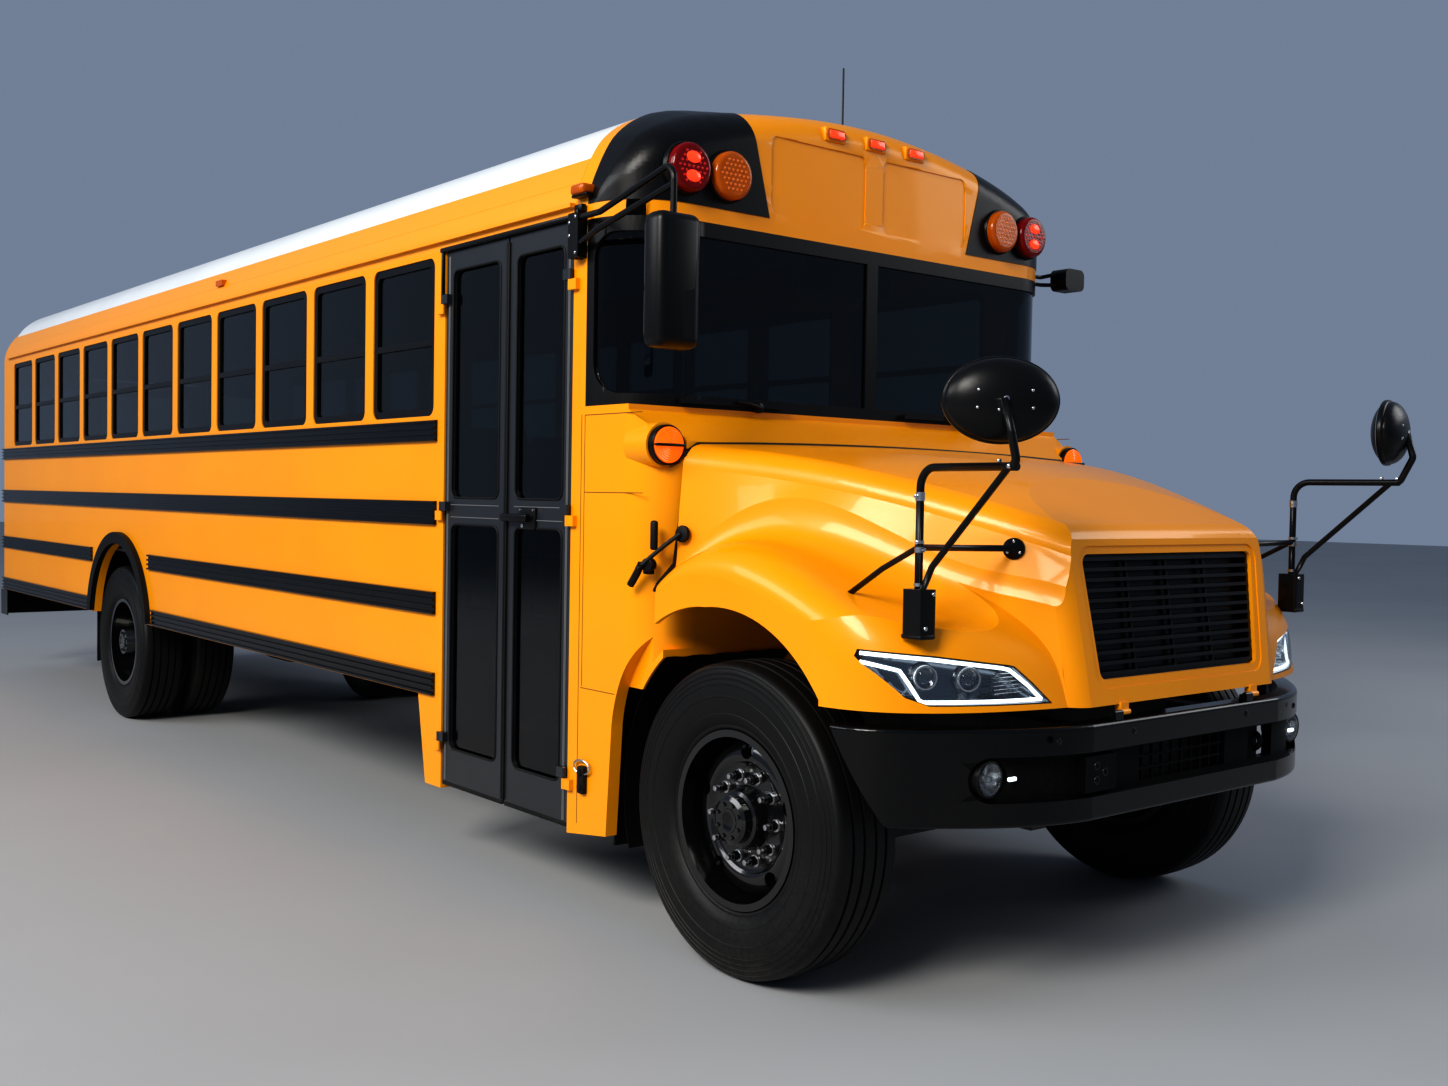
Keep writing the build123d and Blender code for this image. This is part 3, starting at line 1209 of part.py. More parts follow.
def rim_ring(x, y):
    """A rim with a flange at each edge of the tyre's bead."""
    seat = RIM_R - SEAT_GAP
    low = RIM_HALF + SEAT_GAP
    high = low + 9
    return turned_x([
        (-high, RIM_R - RIM_WALL), (-high, RIM_R + 12), (-low, RIM_R + 12), (-low, seat),
        (low, seat), (low, RIM_R + 12), (high, RIM_R + 12), (high, RIM_R - RIM_WALL),
    ], x, y, TYRE_R)


def stud_ring(x, y, length):
    studs = []
    for n in range(STUD_COUNT):
        turn = math.radians(n * 360 / STUD_COUNT)
        dy = STUD_PCD / 2 * math.cos(turn)
        dz = STUD_PCD / 2 * math.sin(turn)
        studs.append(rod_x(x, x + length, y + dy, TYRE_R + dz, STUD_R))
    return studs


HAND_HOLES = 5
HAND_PITCH = 228
HAND_R = 27


def hand_holes(x0, x1, y):
    """Round holes through the sloping part of a wheel disc."""
    holes = []
    for n in range(HAND_HOLES):
        turn = math.radians((n + 0.25) * 360 / HAND_HOLES)
        hole_y = y + HAND_PITCH * math.cos(turn)
        hole_z = TYRE_R + HAND_PITCH * math.sin(turn)
        holes.append(rod_x(x0, x1, hole_y, hole_z, HAND_R))
    return holes


def front_wheel():
    wheel = rim_ring(TYRE_X, 0)
    dish = turned_x([
        (TYRE_X + 10, RIM_R - RIM_WALL + 1), (HUB_FACE, 190), (HUB_FACE, SPINDLE_R + BORE_CLEAR),
        (HUB_FACE - 14, SPINDLE_R + BORE_CLEAR), (HUB_FACE - 14, 184), (TYRE_X - 8, RIM_R - RIM_WALL + 1),
    ], 0, 0, TYRE_R)
    hub = turned_x([
        (HUB_FACE - 115, SPINDLE_R + BORE_CLEAR), (HUB_FACE - 115, 95), (HUB_FACE - 14, 110), (HUB_FACE, 110),
        (HUB_FACE + 45, 92), (HUB_FACE + 50, HUB_CAP_R), (HUB_FACE + 50 + HUB_CAP_TALL, HUB_CAP_R),
        (HUB_FACE + 58 + HUB_CAP_TALL, HUB_CAP_R - 14), (HUB_FACE + 58 + HUB_CAP_TALL, 0),
        (HUB_FACE + 21, 0), (HUB_FACE + 21, SPINDLE_R + BORE_CLEAR),
    ], 0, 0, TYRE_R)
    for hole in hand_holes(TYRE_X - 60, HUB_FACE + 10, 0):
        dish -= hole
    wheel += dish + hub
    for stud in stud_ring(HUB_FACE - 2, 0, 42):
        wheel += stud
    return wheel


DUAL_IN = TYRE_X - DUAL_PITCH
DISC_X = (TYRE_X + DUAL_IN) / 2


def rear_wheel():
    y = WHEELBASE
    wheel = rim_ring(TYRE_X, y) + rim_ring(DUAL_IN, y)
    r_in = RIM_R - RIM_WALL + 1
    outer_dish = turned_x([
        (TYRE_X - 40, r_in), (DISC_X + 14, 190), (DISC_X + 14, SPINDLE_R + BORE_CLEAR),
        (DISC_X, SPINDLE_R + BORE_CLEAR), (DISC_X, 184), (TYRE_X - 62, r_in),
    ], 0, y, TYRE_R)
    inner_dish = turned_x([
        (DUAL_IN + 62, r_in), (DISC_X, 184), (DISC_X, SPINDLE_R + BORE_CLEAR),
        (DISC_X - 14, SPINDLE_R + BORE_CLEAR), (DISC_X - 14, 190), (DUAL_IN + 40, r_in),
    ], 0, y, TYRE_R)
    hub = turned_x([
        (DISC_X + 10, SPINDLE_R + BORE_CLEAR), (DISC_X + 10, 120), (HUB_FACE + 15, 105), (HUB_FACE + 70, 85),
        (HUB_FACE + 70, 0), (HUB_FACE + 51, 0), (HUB_FACE + 51, SPINDLE_R + BORE_CLEAR),
    ], 0, y, TYRE_R)
    for hole in hand_holes(DUAL_IN - 60, TYRE_X + 60, y):
        outer_dish -= hole
        inner_dish -= hole
    wheel += outer_dish + inner_dish + hub
    for stud in stud_ring(DISC_X + 10, y, 48):
        wheel += stud
    return wheel


for name, wheel, tyres in (
    ("front", front_wheel(), [tyre(TYRE_X, 0)]),
    ("rear", rear_wheel(), [tyre(TYRE_X, WHEELBASE), tyre(DUAL_IN, WHEELBASE)]),
):
    keep(name + "_wheel_left", wheel)
    keep(name + "_wheel_right", mirror(wheel, about=Plane.YZ))
    keep(name + "_tyre_left", solids(*tyres))
    keep(name + "_tyre_right", solids(*[mirror(t, about=Plane.YZ) for t in tyres]))

# Entrance door: two leaves that swing outwards about their outer edges
LEAF_FRONT = (DOOR_Y0 + DOOR_GAP, LEAF_SEAM - SEAM_GAP / 2)
LEAF_REAR = (LEAF_SEAM + SEAM_GAP / 2, DOOR_Y1 - DOOR_GAP)
LEAF_WINS = [(492, 1462), (1570, 2540)]
LEAF_BAR = 60


def leaf(span):
    y0, y1 = span
    panel = box(-HALF_W + 4, -HALF_W + 4 + DOOR_T, y0, y1, DOOR_Z0, DOOR_Z1)
    panes = []
    for z0, z1 in LEAF_WINS:
        middle = Pos((y0 + y1) / 2, (z0 + z1) / 2)
        hole = middle * RectangleRounded(y1 - y0 - 2 * LEAF_BAR, z1 - z0, WIN_R)
        panel -= along_x(hole, -HALF_W, -HALF_W + DOOR_T + 10)
        panes.append(along_x(hole, -HALF_W + 18, -HALF_W + 18 + GLASS_T))
    return panel, panes


for name, span in (("door_front", LEAF_FRONT), ("door_rear", LEAF_REAR)):
    panel, panes = leaf(span)
    keep(name, panel)
    keep(name + "_glass", solids(*panes))

# Stop arm: blank eight-sided plate that swings from two lugs on the driver's side
STOP_Y = 2055
STOP_Z = 1690
STOP_R = 230
STOP_T = 12
STOP_X = HALF_W + 39
STOP_HALF = 95
octagon = Pos(STOP_Y + 50 + STOP_R, STOP_Z) * RegularPolygon(STOP_R, 8, rotation=22.5)
stop_arm = along_x(octagon, STOP_X - STOP_T / 2, STOP_X + STOP_T / 2)
stop_arm += box(STOP_X - STOP_T / 2, STOP_X + STOP_T / 2, STOP_Y, STOP_Y + 120, STOP_Z - 85, STOP_Z + 85)
stop_arm += rod_z(STOP_X, STOP_Y, STOP_Z - STOP_HALF, STOP_Z + STOP_HALF, HINGE_R + 2)
stop_arm -= rod_z(STOP_X, STOP_Y, STOP_Z - 200, STOP_Z + 200, HINGE_PIN + BORE_CLEAR)
keep("stop_arm", stop_arm)
stop_pin = rod_z(STOP_X, STOP_Y, STOP_Z - STOP_HALF - 30, STOP_Z + STOP_HALF + 30, HINGE_PIN)
for z0 in (STOP_Z - STOP_HALF - 30, STOP_Z + STOP_HALF + HINGE_SLIT):
    stop_pin += box(HALF_W, STOP_X + 12, STOP_Y - 20, STOP_Y + 20, z0, z0 + 30 - HINGE_SLIT)
nodes["side_left"] = nodes["side_left"] + stop_pin

# Door hinges: pinned straps at three heights
DOOR_HINGE_X = -HALF_W - HINGE_OUT
STRAP_FRONT_Y = DOOR_Y0 + 4
STRAP_REAR_Y = DOOR_Y1 - 4
skin_in = HINGE_OUT + 4
for z in (520, 1515, 2400):
    fixed, moving = pin_hinge((-5, HINGE_OUT, -STRAP_LONG, 0), (-5, skin_in, 0, STRAP_LONG))
    at_front = Pos(DOOR_HINGE_X, STRAP_FRONT_Y, z)
    nodes["cowl"] = nodes["cowl"] + at_front * fixed
    nodes["door_front"] = nodes["door_front"] + at_front * moving
    fixed, moving = pin_hinge((-5, HINGE_OUT, 0, STRAP_LONG), (-5, skin_in, -STRAP_LONG, 0))
    at_rear = Pos(DOOR_HINGE_X, STRAP_REAR_Y, z)
    nodes["side_right"] = nodes["side_right"] + at_rear * fixed
    nodes["door_rear"] = nodes["door_rear"] + at_rear * moving
for z in (1150, 1750, 2400):
    fixed, moving = pin_hinge((-STRAP_LONG, 0, -HINGE_OUT, 5), (0, STRAP_LONG, -HINGE_OUT, 5))
    at_side = Pos(RHINGE_X, RHINGE_Y, z)
    nodes["rear_wall"] = nodes["rear_wall"] + at_side * fixed
    nodes["rear_door"] = nodes["rear_door"] + at_side * moving

# Hood pivots: ears on the bumper and eyes under the nose
for x in (-380, 380):
    ear = rod_x(x - HINGE_HALF, x, HOOD_HINGE_Y, HOOD_HINGE_Z, HINGE_R)
    ear += rod_x(x - HINGE_HALF, x + HINGE_HALF, HOOD_HINGE_Y, HOOD_HINGE_Z, HINGE_PIN)
    ear += box(x - HINGE_HALF, x, HOOD_HINGE_Y - HINGE_R, HOOD_HINGE_Y + 20, BUMPER_Z1, HOOD_HINGE_Z)
    eye = rod_x(x + HINGE_SLIT, x + HINGE_HALF, HOOD_HINGE_Y, HOOD_HINGE_Z, HINGE_R)
    eye += box(x + HINGE_SLIT, x + HINGE_HALF, HOOD_HINGE_Y, HOOD_HINGE_Y + 24, HOOD_HINGE_Z, HOOD_BOTTOM + 6)
    eye -= rod_x(x - 1, x + HINGE_HALF + 1, HOOD_HINGE_Y, HOOD_HINGE_Z, HINGE_PIN + BORE_CLEAR)
    nodes["front_bumper"] = nodes["front_bumper"] + ear
    nodes["hood"] = nodes["hood"] + eye


def place(shape):
    return Pos(0, SHIFT_Y, 0) * shape


os.makedirs("parts", exist_ok=True)
for name, shape in nodes.items():
    export_step(place(shape), "parts/" + name + ".step")
print("nodes", len(nodes))
print("shift", SHIFT_Y)
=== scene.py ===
import json
import math

import bmesh
import bpy
from mathutils import Matrix, Vector
from mathutils.bvhtree import BVHTree


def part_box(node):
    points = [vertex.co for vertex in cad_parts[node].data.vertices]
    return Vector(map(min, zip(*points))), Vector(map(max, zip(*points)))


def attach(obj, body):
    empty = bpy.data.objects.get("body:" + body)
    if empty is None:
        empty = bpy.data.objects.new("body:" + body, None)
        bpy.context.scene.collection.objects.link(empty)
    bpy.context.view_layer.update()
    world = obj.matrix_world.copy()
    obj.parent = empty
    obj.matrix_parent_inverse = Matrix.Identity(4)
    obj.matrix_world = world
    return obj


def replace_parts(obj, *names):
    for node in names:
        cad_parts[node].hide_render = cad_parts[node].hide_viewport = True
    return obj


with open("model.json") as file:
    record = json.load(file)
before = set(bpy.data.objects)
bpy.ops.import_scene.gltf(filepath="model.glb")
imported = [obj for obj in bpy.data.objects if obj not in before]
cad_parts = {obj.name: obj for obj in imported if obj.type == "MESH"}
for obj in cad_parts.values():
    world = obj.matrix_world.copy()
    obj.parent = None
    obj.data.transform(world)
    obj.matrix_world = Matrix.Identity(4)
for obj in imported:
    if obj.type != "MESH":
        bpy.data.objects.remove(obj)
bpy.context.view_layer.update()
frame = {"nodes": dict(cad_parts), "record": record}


# Shader effects, each built once and placed in the finishes that need it

DUST_TAN = (0.28, 0.25, 0.21)
MID_GREY = (0.5, 0.5, 0.5, 1)
ROOF_LINE = 2.862


def put(tree, slot, value):
    """Feeds an input from another node's socket, or sets it; a colour comes without its alpha."""
    if isinstance(value, bpy.types.NodeSocket):
        tree.links.new(value, slot)
    else:
        slot.default_value = (*value, 1) if slot.type == "RGBA" else value


def feed(tree, node, **values):
    """Feeds a node's inputs by their names, with _ for a space."""
    for label, value in values.items():
        put(tree, node.inputs[label.replace("_", " ")], value)


def maths(tree, kind, a, b, clamp=False):
    """One Math node; a and b are sockets or numbers."""
    step = tree.nodes.new("ShaderNodeMath")
    step.operation = kind
    step.use_clamp = clamp
    put(tree, step.inputs[0], a)
    put(tree, step.inputs[1], b)
    return step.outputs[0]


def times(tree, a, b, clamp=False):
    return maths(tree, "MULTIPLY", a, b, clamp)


def plus(tree, a, b, clamp=False):
    return maths(tree, "ADD", a, b, clamp)


def minus(tree, a, b, clamp=False):
    return maths(tree, "SUBTRACT", a, b, clamp)


def blend_colours(tree, share, a, b):
    mix = tree.nodes.new("ShaderNodeMix")
    mix.data_type = "RGBA"
    for n, value in ((0, share), (6, a), (7, b)):
        put(tree, mix.inputs[n], value)
    return mix.outputs[2]


def object_point(tree):
    return tree.nodes.new("ShaderNodeTexCoord").outputs["Object"]


def noise(tree, scale, detail=3.0, rough=0.55):
    field = tree.nodes.new("ShaderNodeTexNoise")
    feed(tree, field, Vector=object_point(tree), Scale=scale, Detail=detail, Roughness=rough)
    return field.outputs["Fac"]


def height_above_ground(tree):
    split = tree.nodes.new("ShaderNodeSeparateXYZ")
    put(tree, split.inputs[0], object_point(tree))
    return split.outputs["Z"]


def effect(name, inputs, outputs):
    """An empty node group with named sockets: (group, its inputs as sockets, its output node)."""
    group = bpy.data.node_groups.new(name, "ShaderNodeTree")
    for label, value in inputs.items():
        kind = "NodeSocketColor" if isinstance(value, tuple) else "NodeSocketFloat"
        group.interface.new_socket(label, in_out="INPUT", socket_type=kind).default_value = value
    for label in outputs:
        kind = "NodeSocketColor" if label == "Colour" else "NodeSocketFloat"
        group.interface.new_socket(label, in_out="OUTPUT", socket_type=kind)
    return group, group.nodes.new("NodeGroupInput").outputs, group.nodes.new("NodeGroupOutput")


def build_road_dust():
    """Pale dust that thins out with height above the road."""
    sockets = {"Colour": MID_GREY, "Amount": 0.5, "Reach": 1.0, "Clean Gloss": 0.3}
    group, given, made = effect("Road Dust", sockets, ["Colour", "Roughness"])
    fall = maths(group, "DIVIDE", height_above_ground(group), given["Reach"])
    low = minus(group, 1.0, fall, clamp=True)
    cloud = noise(group, 2.3, 6.0, 0.65)
    speck = noise(group, 60.0, 2.0)
    patch = times(group, minus(group, times(group, cloud, speck), 0.16), 3.0, clamp=True)
    mask = times(group, times(group, low, patch), given["Amount"], clamp=True)
    rough = plus(group, given["Clean Gloss"], times(group, cloud, 0.06))
    feed(group, made, Colour=blend_colours(group, mask, given["Colour"], DUST_TAN),
         Roughness=plus(group, rough, times(group, mask, 0.45), clamp=True))
    return group


def build_tone():
    """Slow change of value over a surface, as paint batches and sun give."""
    sockets = {"Colour": MID_GREY, "Darker": MID_GREY, "Scale": 1.5}
    group, given, made = effect("Tone Drift", sockets, ["Colour"])
    share = times(group, minus(group, noise(group, given["Scale"], 4.0), 0.35), 1.8, clamp=True)
    feed(group, made, Colour=blend_colours(group, share, given["Colour"], given["Darker"]))
    return group


def build_roof_split():
    """One colour up to the roof line, another above it."""
    sockets = {"Low": MID_GREY, "High": MID_GREY, "Line": ROOF_LINE}
    group, given, made = effect("Roof Split", sockets, ["Colour"])
    above = maths(group, "GREATER_THAN", height_above_ground(group), given["Line"])
    feed(group, made, Colour=blend_colours(group, above, given["Low"], given["High"]))
    return group


def build_edge_rub():
    """A mask along convex edges, broken up by noise."""
    group, given, made = effect("Edge Rub", {"Radius": 0.004, "Amount": 0.5}, ["Mask"])
    soft = group.nodes.new("ShaderNodeBevel")
    soft.samples = 4
    feed(group, soft, Radius=given["Radius"])
    flat = group.nodes.new("ShaderNodeNewGeometry")
    facing_share = group.nodes.new("ShaderNodeVectorMath")
    facing_share.operation = "DOT_PRODUCT"
    put(group, facing_share.inputs[0], soft.outputs[0])
    put(group, facing_share.inputs[1], flat.outputs["Normal"])
    edge = times(group, minus(group, 1.0, facing_share.outputs["Value"]), 5.0, clamp=True)
    broken = maths(group, "GREATER_THAN", noise(group, 35.0, 5.0, 0.7), 0.53)
    feed(group, made, Mask=times(group, times(group, edge, broken), given["Amount"], clamp=True))
    return group


def build_grain():
    """Fine relief of sprayed, moulded or cast surfaces."""
    group, given, made = effect("Surface Grain", {"Scale": 400.0, "Coarse": 0.3}, ["Height"])
    fine = noise(group, given["Scale"], 2.0)
    broad = noise(group, times(group, given["Scale"], 0.12), 2.0)
    feed(group, made, Height=plus(group, fine, times(group, broad, given["Coarse"])))
    return group


ROAD_DUST = build_road_dust()
ROOF_SPLIT = build_roof_split()
TONE_DRIFT = build_tone()
EDGE_RUB = build_edge_rub()
SURFACE_GRAIN = build_grain()


def place(tree, group, **values):
    """Puts an effect in a finish and gives its outputs."""
    step = tree.nodes.new("ShaderNodeGroup")
    step.node_tree = group
    feed(tree, step, **values)
    return step.outputs


def new_finish(name):
    """A material with an empty shader: (material, node tree, Principled BSDF)."""
    material = bpy.data.materials.new(name)
    material.use_nodes = True
    tree = material.node_tree
    return material, tree, tree.nodes["Principled BSDF"]


def rough_up(tree, shader, height, depth):
    bump = tree.nodes.new("ShaderNodeBump")
    feed(tree, bump, Strength=1.0, Distance=depth, Height=height)
    feed(tree, shader, Normal=bump.outputs[0])


def shaded(colour, share):
    return tuple(c * share for c in colour)


def solid_finish(name, colour, darker, gloss, dust=0.3, reach=1.2, grain=400.0, depth=0.0001, rub=0.0,
                 rub_colour=(0.3, 0.3, 0.3), below=None, **shader_values):
    """A coloured opaque finish: tone drift, worn edges, road dust and grain."""
    material, tree, shader = new_finish(name)
    tone = place(tree, TONE_DRIFT, Colour=colour, Darker=darker)["Colour"]
    if below:
        tone = place(tree, ROOF_SPLIT, Low=below, High=tone)["Colour"]
    if rub:
        tone = blend_colours(tree, place(tree, EDGE_RUB, Amount=rub)["Mask"], tone, rub_colour)
    dusty = place(tree, ROAD_DUST, Colour=tone, Amount=dust, Reach=reach, Clean_Gloss=gloss)
    feed(tree, shader, Base_Color=dusty["Colour"], Roughness=dusty["Roughness"], **shader_values)
    rough_up(tree, shader, place(tree, SURFACE_GRAIN, Scale=grain)["Height"], depth)
    return material


def glass_finish(name, tint):
    material, tree, shader = new_finish(name)
    tone = place(tree, TONE_DRIFT, Colour=tint, Darker=shaded(tint, 0.9), Scale=0.7)["Colour"]
    feed(tree, shader, Base_Color=tone, Roughness=times(tree, noise(tree, 3.0, 5.0), 0.05),
         Transmission_Weight=1.0, IOR=1.45)
    return material


def lens_finish(name, colour, darker):
    """Moulded lamp lens with light from within its own colour."""
    material, tree, shader = new_finish(name)
    tone = place(tree, TONE_DRIFT, Colour=colour, Darker=darker, Scale=9.0)["Colour"]
    grain = place(tree, SURFACE_GRAIN, Scale=120.0, Coarse=1.0)["Height"]
    feed(tree, shader, Base_Color=tone, Roughness=plus(tree, times(tree, grain, 0.1), 0.05), Coat_Weight=0.1,
         Specular_IOR_Level=0.3, Subsurface_Weight=0.08, Subsurface_Radius=(0.03, 0.01, 0.004))
    rough_up(tree, shader, grain, 0.0008)
    return material


def glow_finish(name, colour, power):
    """A lit lamp part; its light varies a little along it."""
    material, tree, shader = new_finish(name)
    tone = place(tree, TONE_DRIFT, Colour=colour, Darker=shaded(colour, 0.85), Scale=30.0)["Colour"]
    feed(tree, shader, Base_Color=tone, Emission_Color=tone, Emission_Strength=power,
         Roughness=times(tree, noise(tree, 50.0), 0.3))
    return material


def mirror_finish():
    material, tree, shader = new_finish("mirror glass")
    tone = place(tree, TONE_DRIFT, Colour=(0.82, 0.85, 0.88), Darker=(0.74, 0.78, 0.82), Scale=4.0)["Colour"]
    feed(tree, shader, Base_Color=tone, Metallic=1.0, Roughness=times(tree, noise(tree, 9.0, 5.0), 0.05))
    return material


YELLOW = (0.87, 0.325, 0.0005)
SOLIDS = [
    # slot, name, colour, its darker tone, gloss, what else differs
    ("body_paint", "bus yellow", YELLOW, (0.83, 0.295, 0.0005), 0.3,
     dict(dust=0.1, reach=1.0, depth=0.00003, Specular_IOR_Level=0.3, Coat_Weight=0.2, Coat_Roughness=0.05)),
    ("roof_paint", "roof white", (0.8, 0.82, 0.83), (0.7, 0.73, 0.75), 0.35,
     dict(dust=0.0, depth=0.00003, below=YELLOW, Coat_Weight=0.4)),
    ("black_paint", "black enamel", (0.003, 0.003, 0.0033), (0.0045, 0.0045, 0.005), 0.2,
     dict(dust=0.04, reach=1.0, Specular_IOR_Level=0.2, Coat_Weight=0.3, Coat_Roughness=0.04)),
    ("trim_black", "black plastic", (0.005, 0.005, 0.0055), (0.008, 0.008, 0.0085), 0.3,
     dict(dust=0.05, reach=1.0, Specular_IOR_Level=0.28)),
    ("rubber", "black rubber", (0.006, 0.006, 0.006), (0.009, 0.009, 0.009), 0.5,
     dict(dust=0.08, reach=1.0, depth=0.0003, Specular_IOR_Level=0.25)),
    ("tyre", "tyre rubber", (0.0055, 0.0055, 0.0055), (0.009, 0.0088, 0.0086), 0.45,
     dict(dust=0.08, reach=0.6, grain=260.0, depth=0.0004, Specular_IOR_Level=0.3)),
    ("chassis", "chassis black", (0.014, 0.014, 0.014), (0.024, 0.022, 0.02), 0.5,
     dict(dust=0.4, depth=0.0005, rub=0.4, rub_colour=(0.09, 0.045, 0.025))),
    ("engine", "engine grey", (0.1, 0.1, 0.105), (0.07, 0.068, 0.066), 0.5, dict(dust=0.6, depth=0.0008)),
    ("wheel_paint", "wheel enamel", (0.004, 0.004, 0.0045), (0.006, 0.006, 0.0065), 0.16,
     dict(dust=0.04, reach=0.7, Specular_IOR_Level=0.4, Coat_Weight=0.7, Coat_Roughness=0.05)),
    ("seat_vinyl", "seat vinyl", (0.035, 0.045, 0.07), (0.05, 0.06, 0.085), 0.5,
     dict(dust=0.0, grain=180.0, depth=0.0008)),
    ("floor_rubber", "ribbed floor rubber", (0.03, 0.03, 0.032), (0.05, 0.05, 0.05), 0.6,
     dict(dust=0.5, reach=1.4, depth=0.0006)),
    ("tank", "brushed tank", (0.35, 0.35, 0.36), (0.25, 0.25, 0.26), 0.35, dict(dust=0.5, Metallic=0.9)),
    ("stop_red", "signal red", (0.55, 0.012, 0.012), (0.48, 0.01, 0.01), 0.3,
     dict(dust=0.05, Coat_Weight=0.4)),
]
FINISHES = {slot: solid_finish(*basics, **rest) for slot, *basics, rest in SOLIDS}
FINISHES["glass"] = glass_finish("tinted glass", (0.13, 0.165, 0.18))
FINISHES["clear_lens"] = glass_finish("clear lens", (0.93, 0.95, 0.96))
FINISHES["amber_lens"] = lens_finish("amber lens", (0.5, 0.11, 0.001), (0.34, 0.065, 0.001))
FINISHES["red_lens"] = lens_finish("red lens", (0.2, 0.002, 0.002), (0.11, 0.001, 0.001))

# Finishes for some pieces of a slot that look unlike the rest of it

DOOR_CHARCOAL = solid_finish("door charcoal", (0.017, 0.019, 0.023), (0.023, 0.025, 0.03), 0.32, dust=0.06,
                             depth=0.00005, Coat_Weight=0.25, Coat_Roughness=0.06)
BRIGHT_METAL = solid_finish("bright zinc", (0.62, 0.62, 0.63), (0.45, 0.45, 0.46), 0.22, dust=0.25,
                            Metallic=1.0)
DARK_CHROME = solid_finish("dark chrome", (0.16, 0.175, 0.2), (0.09, 0.1, 0.12), 0.16, dust=0.0,
                           depth=0.00005, Metallic=1.0)
SATIN_GREY = solid_finish("satin grey edging", (0.16, 0.165, 0.17), (0.12, 0.12, 0.125), 0.4, dust=0.2)
SEAM_DARK = solid_finish("seam shadow", (0.16, 0.06, 0.004), (0.12, 0.045, 0.004), 0.7, dust=0.2)
# Painted shade: a matte near-black for the floor of the bumper channel, darker than the black enamel round it
CHANNEL_SHADE_BLACK = solid_finish("shadow black", (0.0025, 0.0025, 0.0028), (0.004, 0.004, 0.0042), 0.6, dust=0.05,
                          Specular_IOR_Level=0.15)
LED_WHITE = glow_finish("lit lamp tube", (0.86, 0.95, 1.0), 1.6)
AMBER_POINT = glow_finish("amber lamp point", (0.75, 0.17, 0.006), 0.05)
RED_POINT = glow_finish("red lamp point", (0.6, 0.01, 0.006), 0.08)
RED_GLOW = glow_finish("red lamp light", (1.0, 0.06, 0.015), 0.75)
AMBER_LIT = glow_finish("amber turn lens", (0.92, 0.16, 0.002), 0.5)
MIRROR_GLASS = mirror_finish()
DOOR_NODES = ("door_front", "door_rear")


def dress_cad_nodes():
    for row in frame["record"]["subparts"]:
        node = frame["nodes"].get(row["node"])
        if node is not None:
            node.data.materials.clear()
            own = DOOR_CHARCOAL if row["node"] in DOOR_NODES else FINISHES[row["material_slot"]]
            node.data.materials.append(own)


dress_cad_nodes()


# Making pieces: millimetres from the front axle, as part.py counts them, until finish_piece

MM = 0.001
AXLE_Y = sum(corner[1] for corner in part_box("front_tyre_left")) / 2
SIDES = ((1, "left"), (-1, "right"))
AHEAD = (0, -1, 0)
BACK = (0, 1, 0)
KERBWARD = (-1, 0, 0)


def add_object(name, data):
    thing = bpy.data.objects.new(name, data)
    bpy.context.scene.collection.objects.link(thing)
    return thing


def add_form(bm, name):
    """Turns a form into an object and frees it."""
    mesh = bpy.data.meshes.new(name)
    bm.to_mesh(mesh)
    bm.free()
    return add_object(name, mesh)


def finish_piece(parts, name, slot, body="root", finish=None, sharp=35, mirrored=False):
    """Turns a form or a list of parts into a piece that rides on a body."""
    bm = joined(parts) if isinstance(parts, list) else parts
    if mirrored:
        both_sides(bm)
    bmesh.ops.scale(bm, vec=(MM, MM, MM), verts=bm.verts)
    bmesh.ops.translate(bm, vec=(0, AXLE_Y, 0), verts=bm.verts)
    piece = add_form(bm, name)
    piece.data.shade_smooth()
    piece.data.set_sharp_from_angle(angle=math.radians(sharp))
    piece.data.materials.append(finish or FINISHES[slot])
    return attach(piece, body)


def joined(parts):
    """One form from several parts, each a form or a pair of a form and the matrix that places it."""
    bm = bmesh.new()
    for part in parts:
        form, matrix = part if isinstance(part, tuple) else (part, Matrix())
        bmesh.ops.transform(form, matrix=matrix, verts=form.verts)
        if matrix.determinant() < 0:
            bmesh.ops.reverse_faces(form, faces=form.faces)
        carrier = bpy.data.meshes.new("carrier")
        form.to_mesh(carrier)
        form.free()
        bm.from_mesh(carrier)
        bpy.data.meshes.remove(carrier)
    return bm


def shift(x, y, z):
    return Matrix.Translation((x, y, z))


def flipped(side):
    """Matrix that leaves the left side as it is and mirrors to the right."""
    return Matrix.Diagonal((side, 1, 1, 1))


def facing(at, along):
    """Matrix that sets a form drawn up +Z onto a point, pointing along a direction."""
    return Matrix.Translation(at) @ Vector(along).to_track_quat("Z", "Y").to_matrix().to_4x4()


def everything(bm):
    return bm.verts[:] + bm.edges[:] + bm.faces[:]


def new_verts(result):
    """The vertices among the geometry that an operator made."""
    return [g for g in result["geom"] if isinstance(g, bmesh.types.BMVert)]


def both_sides(bm):
    bmesh.ops.mirror(bm, geom=everything(bm), axis="X", merge_dist=0.001)
    bmesh.ops.recalc_face_normals(bm, faces=bm.faces)


def turned(profile, steps=48, closed=False):
    """A form spun about +Z from (height, radius) pairs."""
    bm = bmesh.new()
    row = [bm.verts.new((r, 0, h)) for h, r in profile]
    pairs = list(zip(row, row[1:])) + ([(row[-1], row[0])] if closed else [])
    edges = [bm.edges.new(pair) for pair in pairs]
    bmesh.ops.spin(bm, geom=row + edges, cent=(0, 0, 0), axis=(0, 0, 1), dvec=(0, 0, 0), angle=math.tau,
                   steps=steps, use_merge=True, use_duplicate=False)
    bmesh.ops.remove_doubles(bm, verts=bm.verts, dist=0.01)
    bmesh.ops.recalc_face_normals(bm, faces=bm.faces)
    return bm


def round_edges(bm, edges, soft, segments=2):
    bmesh.ops.bevel(bm, geom=edges, offset=soft, segments=segments, profile=0.5, affect="EDGES", material=-1)


